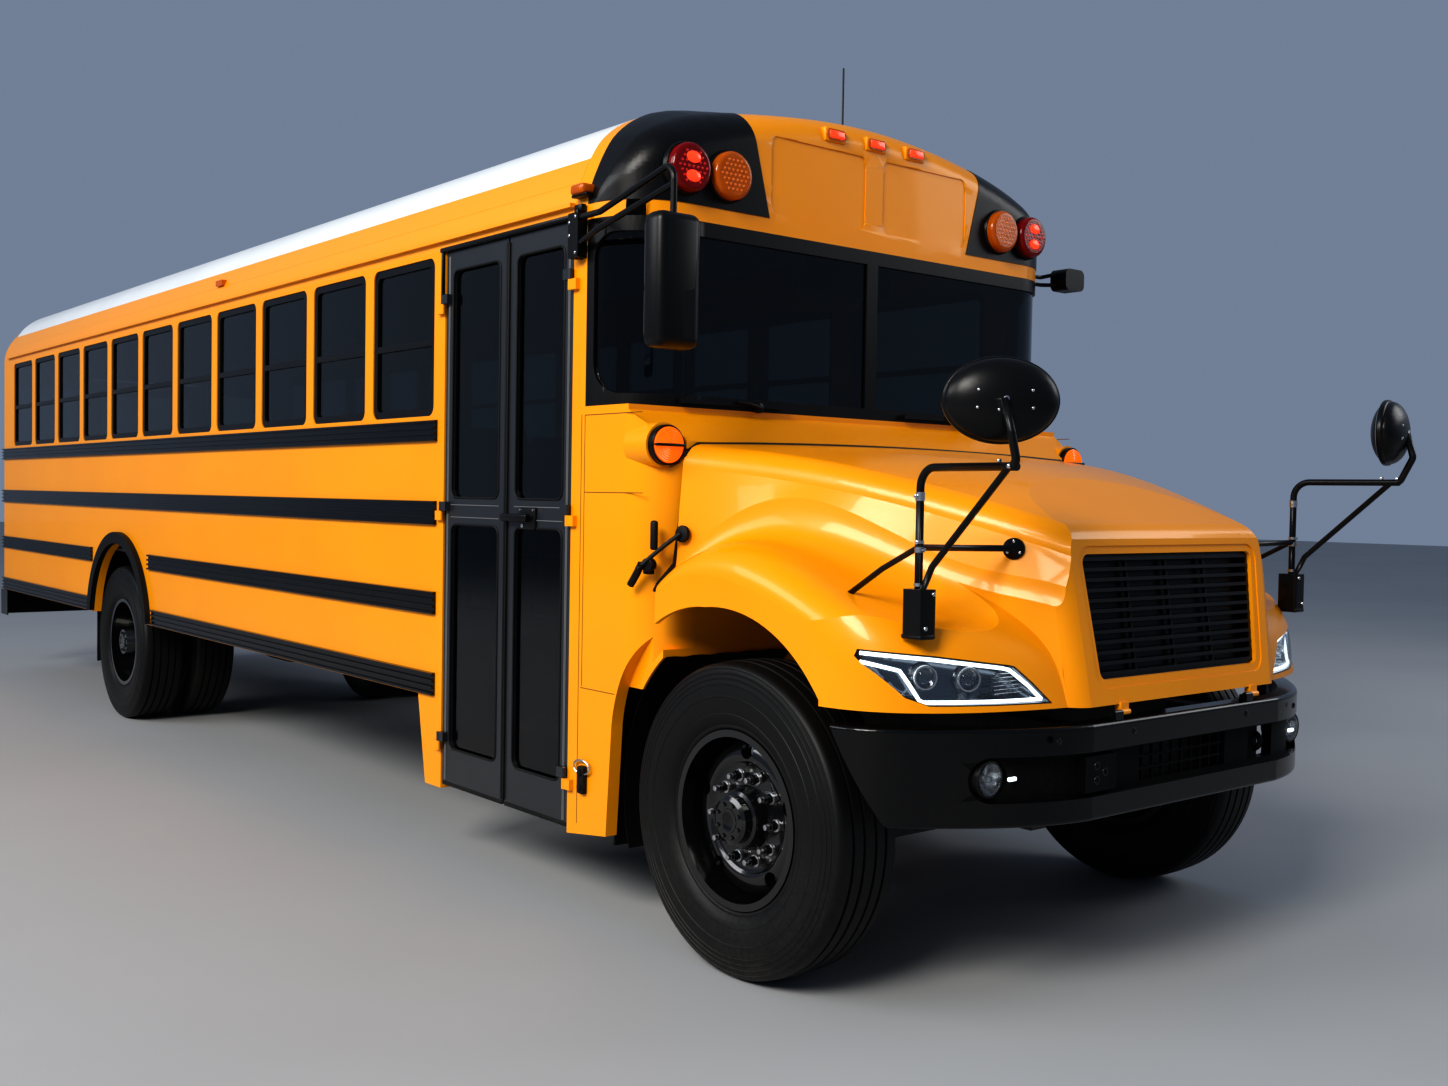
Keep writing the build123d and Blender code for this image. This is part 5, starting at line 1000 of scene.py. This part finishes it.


# Front bumper: fog lamp parts, painted shade on the channel floor, side lights, plate holes and hook bolts

FOG_LAMP = (869, -828, 764)
PLATE_HOLES = ((-512, 786), (-512, 742), (-470, 764))
BUMPER_BOLTS = [
    # x, y
    (-700, -948), (-330, -957), (330, -957), (660, -948),
]


def in_channel(face):
    """Whether a front face of the bumper lies on the floor of its channel."""
    middle = face.calc_center_median()
    heights = [v.co.z for v in face.verts]
    return (face.normal.y < -0.3 and 694 < middle.z < 832 and abs(middle.x) < 940 and min(heights) > 693
            and max(heights) < 833)


def build_bumper_details():
    aim = facing(FOG_LAMP, AHEAD)
    bezel = turned([(-30, 59), (-2, 59), (2, 56), (0, 50), (-10, 46), (-30, 46)], 36, True)
    bowl = turned([(-1, 49), (-14, 40), (-24, 22), (-27, 0)], 32)
    bulb = turned([(-27, 0), (-27, 12), (-8, 10), (-4, 0)], 16)
    lens = turned([(-1, 0), (-1, 50), (2, 50), (5, 34), (7, 0)], 36)
    finish_piece([(bezel, aim)], "fog_lamp_bezels", "trim_black", mirrored=True)
    finish_piece([(bowl, aim), (bulb, aim)], "fog_lamp_bowls", "tank", finish=BRIGHT_METAL, mirrored=True)
    finish_piece([(lens, aim)], "fog_lamp_lenses", "clear_lens", mirrored=True)
    # Painted shade: a near-black copy of the channel floor, set 1.2 mm in front of it
    channel_shade = merged_copy("front_bumper")
    bmesh.ops.delete(channel_shade, geom=[f for f in channel_shade.faces if not in_channel(f)], context="FACES")
    bmesh.ops.translate(channel_shade, vec=(0, -1.2, 0), verts=channel_shade.verts)
    finish_piece(channel_shade, "bumper_channel_painted_shade", "rubber", finish=CHANNEL_SHADE_BLACK)
    side_light = block((790, -866, 758), (824, -856, 770), 3)
    finish_piece(side_light, "bumper_side_lights", "clear_lens", finish=LED_WHITE, mirrored=True)
    bolts = [(turned([(0, 9), (2, 9), (2, 14), (0, 15)], 16, True), facing((x, -951, z), AHEAD))
             for x, z in PLATE_HOLES]
    bolts += [(dome(11, 5, 14), facing((x, y, 878), AHEAD)) for x, y in BUMPER_BOLTS]
    finish_piece(bolts, "bumper_bolts", "black_paint")


# Wipers: arm, hinge cap and blade along the foot of the windscreen

WIPERS = [
    # pivot x, blade from x, blade to x
    (-620, -1000, -480), (560, 180, 700),
]


def build_wipers():
    parts = []
    for pivot, x0, x1 in WIPERS:
        middle = (x0 + x1) / 2
        arm = [(pivot, 536, 1936), ((pivot + middle) / 2, 528, 1952), (middle, 532, 1950)]
        blade = [(x0 + 12, 546, 1944), (middle, 541, 1954), (x1 - 12, 546, 1944)]
        parts += [(drum(20, 16, 16, 4), facing((pivot, 553, 1936), AHEAD)), bar_along(arm, 6, 8, smooth=True),
                  bar_along(blade, 4, 8, smooth=True)]
    finish_piece(parts, "wiper_arms", "trim_black")


# Rivets above and below the side windows and up the rear corners

SIDE_PITCH = 62
REAR_PITCH = 70
RIVET_ROWS_Z = (2652, 1900)
LOW_ROW_FROM_Y = 2000


def build_rivets():
    parts = []
    for y in range(960, 9620, SIDE_PITCH):
        for z in RIVET_ROWS_Z if y > LOW_ROW_FROM_Y else RIVET_ROWS_Z[:1]:
            parts.append((dome(5, 2.2, 6, 1), facing((1218.5, y, z), (1, 0, 0))))
    for z in range(1080, 2500, REAR_PITCH):
        parts.append((dome(5, 2.2, 6, 1), facing((1186, REAR_FACE - 1, z), BACK)))
    finish_piece(parts, "rivets", "body_paint", mirrored=True)


# Stop arm: pale border on both faces and two lamps

ARM_X, ARM_Y, ARM_Z = 1258, 2335, 1690


def build_stop_arm():
    border, lamps = bmesh.new(), []
    for side, _ in SIDES:
        outer, inner = [], []
        for row, r in ((outer, 222), (inner, 203)):
            for n in range(8):
                y, z, x = polar(r, (n + 0.5) / 8, ARM_X + side * 6.5)
                row.append(border.verts.new((x, ARM_Y + y, ARM_Z + z)))
        for n in range(8):
            border.faces.new((outer[n], outer[(n + 1) % 8], inner[(n + 1) % 8], inner[n]))
        for z in (ARM_Z + 150, ARM_Z - 150):
            lamps.append((turned([(0, 42), (10, 42), (18, 34), (22, 16), (22, 0)], 28),
                          facing((ARM_X + side * 5, ARM_Y, z), (side, 0, 0))))
    bmesh.ops.recalc_face_normals(border, faces=border.faces)
    bmesh.ops.solidify(border, geom=border.faces[:], thickness=1.0)
    finish_piece(border, "stop_arm_border", "roof_paint", "stop_arm")
    finish_piece(lamps, "stop_arm_lamps", "red_lens", "stop_arm")


# Rear: seals round the glass, door handle, blank plate holder, reflectors, bumper bolts

def glass_seal(u0, u1, z0, z1):
    return bar_along(round_frame(u0, u1, z0, z1, 44, lambda u, v: (u, REAR_FACE + 1, v)), 10, 8, closed=True)


def build_rear_details():
    finish_piece([glass_seal(-391, 391, z0 + 1, z1 - 1) for z0, z1 in ((1180, 1600), (1850, 2440))],
                 "rear_door_seals", "rubber", "emergency_door")
    finish_piece([glass_seal(side * 840 - 239, side * 840 + 239, 1851, 2479) for side, _ in SIDES],
                 "rear_window_seals", "rubber")
    grip = [(x, REAR_FACE + y, 1730) for x, y in ((320, 8), (320, 40), (410, 40), (410, 8))]
    plate = block((300, REAR_FACE - 2, 1690), (420, REAR_FACE + 10, 1770), 8, 3)
    finish_piece([plate, bar_along(grip, 8, 8)], "rear_door_handle", "trim_black", "emergency_door")
    holder = block((560, REAR_FACE - 1, 940), (900, REAR_FACE + 8, 1110), 6)
    finish_piece(holder, "plate_holder", "trim_black")
    reflectors = [(turned([(0, 38), (8, 38), (12, 32), (13, 0)], 28), facing((x, REAR_FACE, 900), BACK))
                  for x in (-730, 730, -1130, 1130)]
    finish_piece(reflectors, "rear_reflectors", "red_lens")
    bolts = [(dome(13, 7, 12), facing((x, 9960, z), BACK))
             for x in (-980, -430, 430, 980) for z in (540, 630)]
    finish_piece(bolts, "rear_bumper_bolts", "black_paint")


# Roof haunch: the roof, both caps and the lamp panels bulge a little higher above the side walls

SHOULDER_Z = 2640
HALF_W = 1219
ROOF_FRONT = 926
ROOF_BACK = 9640
CURB_HALF = 330
HATCH_Y = 3030
SHEET_FOOT = 22
SHEET_GAP = 1.5
# where the shoulder begins, its middle and radius, the crown's height and radius
SOLID_ROOF = (1002, 889, 330, 3126.75, 2930)
FULL_ROOF = (878, 779, 440, 3168.8, 3903)
CUTS_Y = (590, 640, 690, 740, 790, 840, 900, 9600, 9660, 9720, 9780, 9840)
CUTS_X = range(200, 980, 85)
CUTS_Z = (2760, 2800, 2840, 2880, 2920)


def roof_height(x, roof):
    """Height of a roof above a point across it: round shoulder outside, flatter crown inside."""
    shoulder_from, middle, r, crown, crown_r = roof
    if x > shoulder_from:
        return SHOULDER_Z + math.sqrt(max(r ** 2 - (x - middle) ** 2, 0))
    return crown - crown_r + math.sqrt(crown_r ** 2 - x ** 2)


def ease(low, high, value):
    share = min(max((value - low) / (high - low), 0.0), 1.0)
    return share * share * (3 - 2 * share)


def haunch_rise(x, y, z):
    """How far a point rises, eased off to the middle, down the walls and to both ends."""
    x = min(abs(x), HALF_W - 1)
    rise = max(roof_height(x, FULL_ROOF) - roof_height(x, SOLID_ROOF), 0)
    rise *= ease(200, 900, x)
    rise *= ease(2760, 2900, z)
    rise *= ease(540, 850, y)
    return rise * ease(9880, 9600, y)


def raised_copy(node, name, slot):
    """A CAD node with enough edges across its top, raised to the fuller roof."""
    bm = merged_copy(node)
    cuts = [((0, y, 0), (0, 1, 0)) for y in CUTS_Y]
    cuts += [((side * x, 0, 0), (1, 0, 0)) for side, _ in SIDES for x in CUTS_X]
    cuts += [((0, 0, z), (0, 0, 1)) for z in CUTS_Z]
    for at, across in cuts:
        bmesh.ops.bisect_plane(bm, geom=everything(bm), plane_co=at, plane_no=across)
    for vert in bm.verts:
        x, y, z = vert.co
        solid_z = roof_height(abs(x), SOLID_ROOF)
        if 850 < y < 9600 and 880 < abs(x) < HALF_W - 1 and z > 2760 and abs(z - solid_z) < 9:
            z = solid_z
        vert.co.z = z + haunch_rise(x, y, z)
    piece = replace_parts(finish_piece(bm, name, slot, sharp=28), node)
    even = piece.modifiers.new("even shading", "WEIGHTED_NORMAL")
    even.keep_sharp = True


def roof_sheet():
    """The outer roof sheet, open round the hatch curb."""
    half = [889 + 330 * math.cos(math.radians(SHEET_FOOT + n * (70 - SHEET_FOOT) / 14)) for n in range(15)]
    half += [1002 - n * (1002 - CURB_HALF) / 10 for n in range(1, 11)] + [CURB_HALF * n / 3 for n in (2, 1)]
    across = half + [0] + [-x for x in reversed(half)]
    rows = []
    for y in (ROOF_FRONT, HATCH_Y - CURB_HALF, HATCH_Y + CURB_HALF, 5400, 7500, 9600, 9620, ROOF_BACK):
        heights = [roof_height(abs(x), SOLID_ROOF) for x in across]
        rows.append([(x, y, z + haunch_rise(x, y, z) + SHEET_GAP) for x, z in zip(across, heights)])
    bm = sheet(rows, lambda middle: abs(middle.x) > CURB_HALF or abs(middle.y - HATCH_Y) > CURB_HALF)
    bmesh.ops.solidify(bm, geom=bm.faces[:], thickness=2.5)
    return bm


def build_roof():
    finish_piece(roof_sheet(), "roof_sheet", "roof_paint", sharp=45)
    raised_copy("front_cap", "front_cap_skin", "body_paint")
    raised_copy("front_trim", "front_lamp_panels", "trim_black")
    raised_copy("rear_wall", "rear_skin", "body_paint")


# Seats: stuffed cushions and backs swell between their seams; frames and legs stay hard

SEAT_PITCH = 665
SEAT_ROWS = 11
SEAT_Y = 2400
VOXEL = 0.024
SWELL_PRESSURE = 4
SWELL_CAP = 0.016
SWELL_STEPS = 20


def stuffed(form):
    """Remeshes a closed form and lets it swell, no point by more than the cap."""
    bmesh.ops.scale(form, vec=(MM, MM, MM), verts=form.verts)
    pad = add_form(form, "pad")
    remesh = pad.modifiers.new("remesh", "REMESH")
    remesh.mode = "VOXEL"
    remesh.voxel_size = VOXEL
    bpy.context.view_layer.update()
    even = bpy.data.meshes.new_from_object(pad.evaluated_get(bpy.context.evaluated_depsgraph_get()))
    pad.modifiers.clear()
    pad.data = even
    rest = [v.co.copy() for v in even.vertices]
    cloth = pad.modifiers.new("cloth", "CLOTH")
    cloth.settings.use_pressure = True
    cloth.settings.uniform_pressure_force = SWELL_PRESSURE
    cloth.settings.effector_weights.gravity = 0
    cloth.point_cache.frame_start = 1
    cloth.point_cache.frame_end = SWELL_STEPS
    for step in range(1, SWELL_STEPS + 1):
        bpy.context.scene.frame_set(step)
    swollen = pad.evaluated_get(bpy.context.evaluated_depsgraph_get())
    moved = [v.co.copy() for v in swollen.data.vertices]
    pad.modifiers.clear()
    for vert, start, end in zip(even.vertices, rest, moved):
        way = end - start
        vert.co = start + way * min(1.0, SWELL_CAP / max(way.length, 1e-9))
    bpy.context.scene.frame_set(1)
    bm = bmesh.new()
    bm.from_mesh(even)
    bpy.data.objects.remove(pad)
    bmesh.ops.smooth_vert(bm, verts=bm.verts, factor=0.5, use_axis_x=True, use_axis_y=True, use_axis_z=True)
    bmesh.ops.scale(bm, vec=(1 / MM, 1 / MM, 1 / MM), verts=bm.verts)
    return bm


def slab(x0, x1, section):
    """A closed form from a (y, z) outline between two x planes, with rounded edges."""
    bm = bmesh.new()
    face = bm.faces.new([bm.verts.new((x0, y, z)) for y, z in section])
    made = bmesh.ops.extrude_face_region(bm, geom=[face])
    bmesh.ops.translate(bm, vec=(x1 - x0, 0, 0), verts=new_verts(made))
    bmesh.ops.recalc_face_normals(bm, faces=bm.faces)
    round_edges(bm, bm.edges[:], 18)
    return bm


def repeat_rows(form, name, slot, finish=None):
    """The same form on every bench, one piece for each side of the aisle."""
    for side, word in SIDES:
        flip = flipped(side)
        rows = [(form.copy(), flip @ shift(0, row * SEAT_PITCH, 0)) for row in range(SEAT_ROWS)]
        piece = finish_piece(rows, name + "_" + word, slot, finish=finish)
    form.free()


def build_seats():
    y = SEAT_Y
    cushion = slab(200, 1158, [(y + 10, 1302), (y + 380, 1302), (y + 380, 1388), (y + 10, 1388)])
    repeat_rows(stuffed(cushion), "bench_cushions", "seat_vinyl")
    back = slab(200, 1158, [(y + 372, 1362), (y + 438, 1362), (y + 508, 1945), (y + 462, 1945)])
    repeat_rows(stuffed(back), "bench_backs", "seat_vinyl")
    legs = [bar_along([(262, leg_y, 964), (262, leg_y, 1290)], 13, 8) for leg_y in (y + 58, y + 322)]
    legs.append(block((246, y + 26, 960), (282, y + 352, 968), 3, 1))
    legs += [block((204, rail_y, 1280), (1158, rail_y + 30, 1300), 4, 1) for rail_y in (y + 14, y + 344)]
    repeat_rows(joined(legs), "bench_legs", "trim_black", finish=SATIN_GREY)
    cushion = slab(340, 820, [(1310, 1342), (1735, 1342), (1735, 1436), (1310, 1436)])
    finish_piece(stuffed(cushion), "driver_cushion", "seat_vinyl")
    back = slab(350, 810, [(1712, 1412), (1795, 1412), (1880, 2085), (1818, 2085)])
    finish_piece(stuffed(back), "driver_back", "seat_vinyl")
    base = [block((440, 1390, 962), (720, 1670, 1180), 14),
            block((360, 1330, 1290), (800, 1720, 1340), 12),
            (drum(90, 120, 24, 8), shift(580, 1530, 1176))]
    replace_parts(finish_piece(base, "driver_seat_base", "trim_black"), "seats")


# Cab: steering wheel, column and the inside mirror above the windscreen

WHEEL_HUB = Vector((545, 1120, 1690))
WHEEL_AXIS = Vector((0, 0.82, 0.57))


def build_cab():
    hub = facing(WHEEL_HUB, WHEEL_AXIS)
    on_ring = lambda r, degrees: hub @ Vector(polar(r, degrees / 360, 0))
    parts = [bar_along([on_ring(225, t) for t in range(0, 360, 12)], 15, 12, closed=True)]
    parts += [bar_along([WHEEL_HUB - WHEEL_AXIS * 18, on_ring(220, t)], 10, 8) for t in (90, 210, 330)]
    parts.append((drum(58, 40, 24, 10), facing(WHEEL_HUB - WHEEL_AXIS * 36, WHEEL_AXIS)))
    parts.append(bar_along([WHEEL_HUB - WHEEL_AXIS * 30, WHEEL_HUB - WHEEL_AXIS * 280], 26, 12))
    finish_piece(parts, "steering_wheel", "trim_black")
    stalk = bar_along([(0, 700, 2590), (0, 660, 2660)], 9, 8)
    finish_piece([block((-240, 700, 2440), (240, 726, 2590), 16, 3), stalk], "inside_mirror", "trim_black")


# Camera, floor and studio light

CAMERA_AT = (-4.144, -7.943, 1.591)
YAW, PITCH, ROLL = math.radians(39.467), math.radians(-1.835), math.radians(0.976)
FOCAL_MM = 34.978
FLOOR_HALF = 60
FLOOR_GREY = (0.4, 0.405, 0.41)
FLOOR_DARK = (0.36, 0.365, 0.37)
SKY_TINT = (0.62, 0.76, 1.0)
SKY_POWER = 0.27
SOFTBOXES = [
    # name, place, aim, size, watts, colour
    ("key_softbox", (-13, -8.5, 10), (0, -3, 1.4), (6, 5), 1750, (1.0, 0.96, 0.89)),
    ("side_softbox", (-14, 3, 9), (0, 0, 1.2), (12, 5), 950, (1, 1, 1)),
    ("far_softbox", (10, -9, 7), (0, -2, 1.2), (6, 5), 260, (1, 1, 1)),
]


def place_camera():
    """The photograph's standpoint: by the kerb ahead of the entrance, at eye height."""
    forward = Vector((math.sin(YAW) * math.cos(PITCH), math.cos(YAW) * math.cos(PITCH), math.sin(PITCH)))
    right = Vector((math.cos(YAW), -math.sin(YAW), 0))
    up = right.cross(forward)
    right_rolled = math.cos(ROLL) * right + math.sin(ROLL) * up
    up_rolled = -math.sin(ROLL) * right + math.cos(ROLL) * up
    lens = bpy.data.cameras.new("camera")
    lens.sensor_width = 36
    lens.lens = FOCAL_MM
    lens.clip_end = 200
    camera = add_object("camera", lens)
    turn = Matrix((right_rolled, up_rolled, -forward)).transposed().to_4x4()
    camera.matrix_world = Matrix.Translation(CAMERA_AT) @ turn
    bpy.context.scene.camera = camera


def add_softbox(name, at, aim, size, power, colour):
    lamp = bpy.data.lights.new(name, "AREA")
    lamp.shape = "RECTANGLE"
    lamp.size, lamp.size_y = size
    lamp.energy = power
    lamp.color = colour
    turn = (Vector(aim) - Vector(at)).to_track_quat("-Z", "Y").to_matrix().to_4x4()
    add_object(name, lamp).matrix_world = Matrix.Translation(at) @ turn


def build_studio():
    bm = bmesh.new()
    bmesh.ops.create_grid(bm, x_segments=1, y_segments=1, size=FLOOR_HALF)
    floor = add_form(bm, "studio_floor")
    material, tree, shader = new_finish("studio floor")
    tone = place(tree, TONE_DRIFT, Colour=FLOOR_GREY, Darker=FLOOR_DARK, Scale=0.4)["Colour"]
    feed(tree, shader, Base_Color=tone, Roughness=0.7)
    floor.data.materials.append(material)
    world = bpy.data.worlds.new("studio")
    world.use_nodes = True
    feed(world.node_tree, world.node_tree.nodes["Background"], Color=SKY_TINT, Strength=SKY_POWER)
    bpy.context.scene.world = world
    for row in SOFTBOXES:
        add_softbox(*row)
    view = bpy.context.scene.view_settings
    view.view_transform = "Standard"
    view.look = "High Contrast"


build_roof()
build_tyres()
build_wheels()
build_headlamps()
build_crossover_mirrors()
build_main_mirror()
build_lamp_faces()
build_doors()
build_cowl_details()
build_arch_liners_and_shade()
build_bumper_details()
build_wipers()
build_rivets()
build_stop_arm()
build_rear_details()
build_seats()
build_cab()
place_camera()
build_studio()
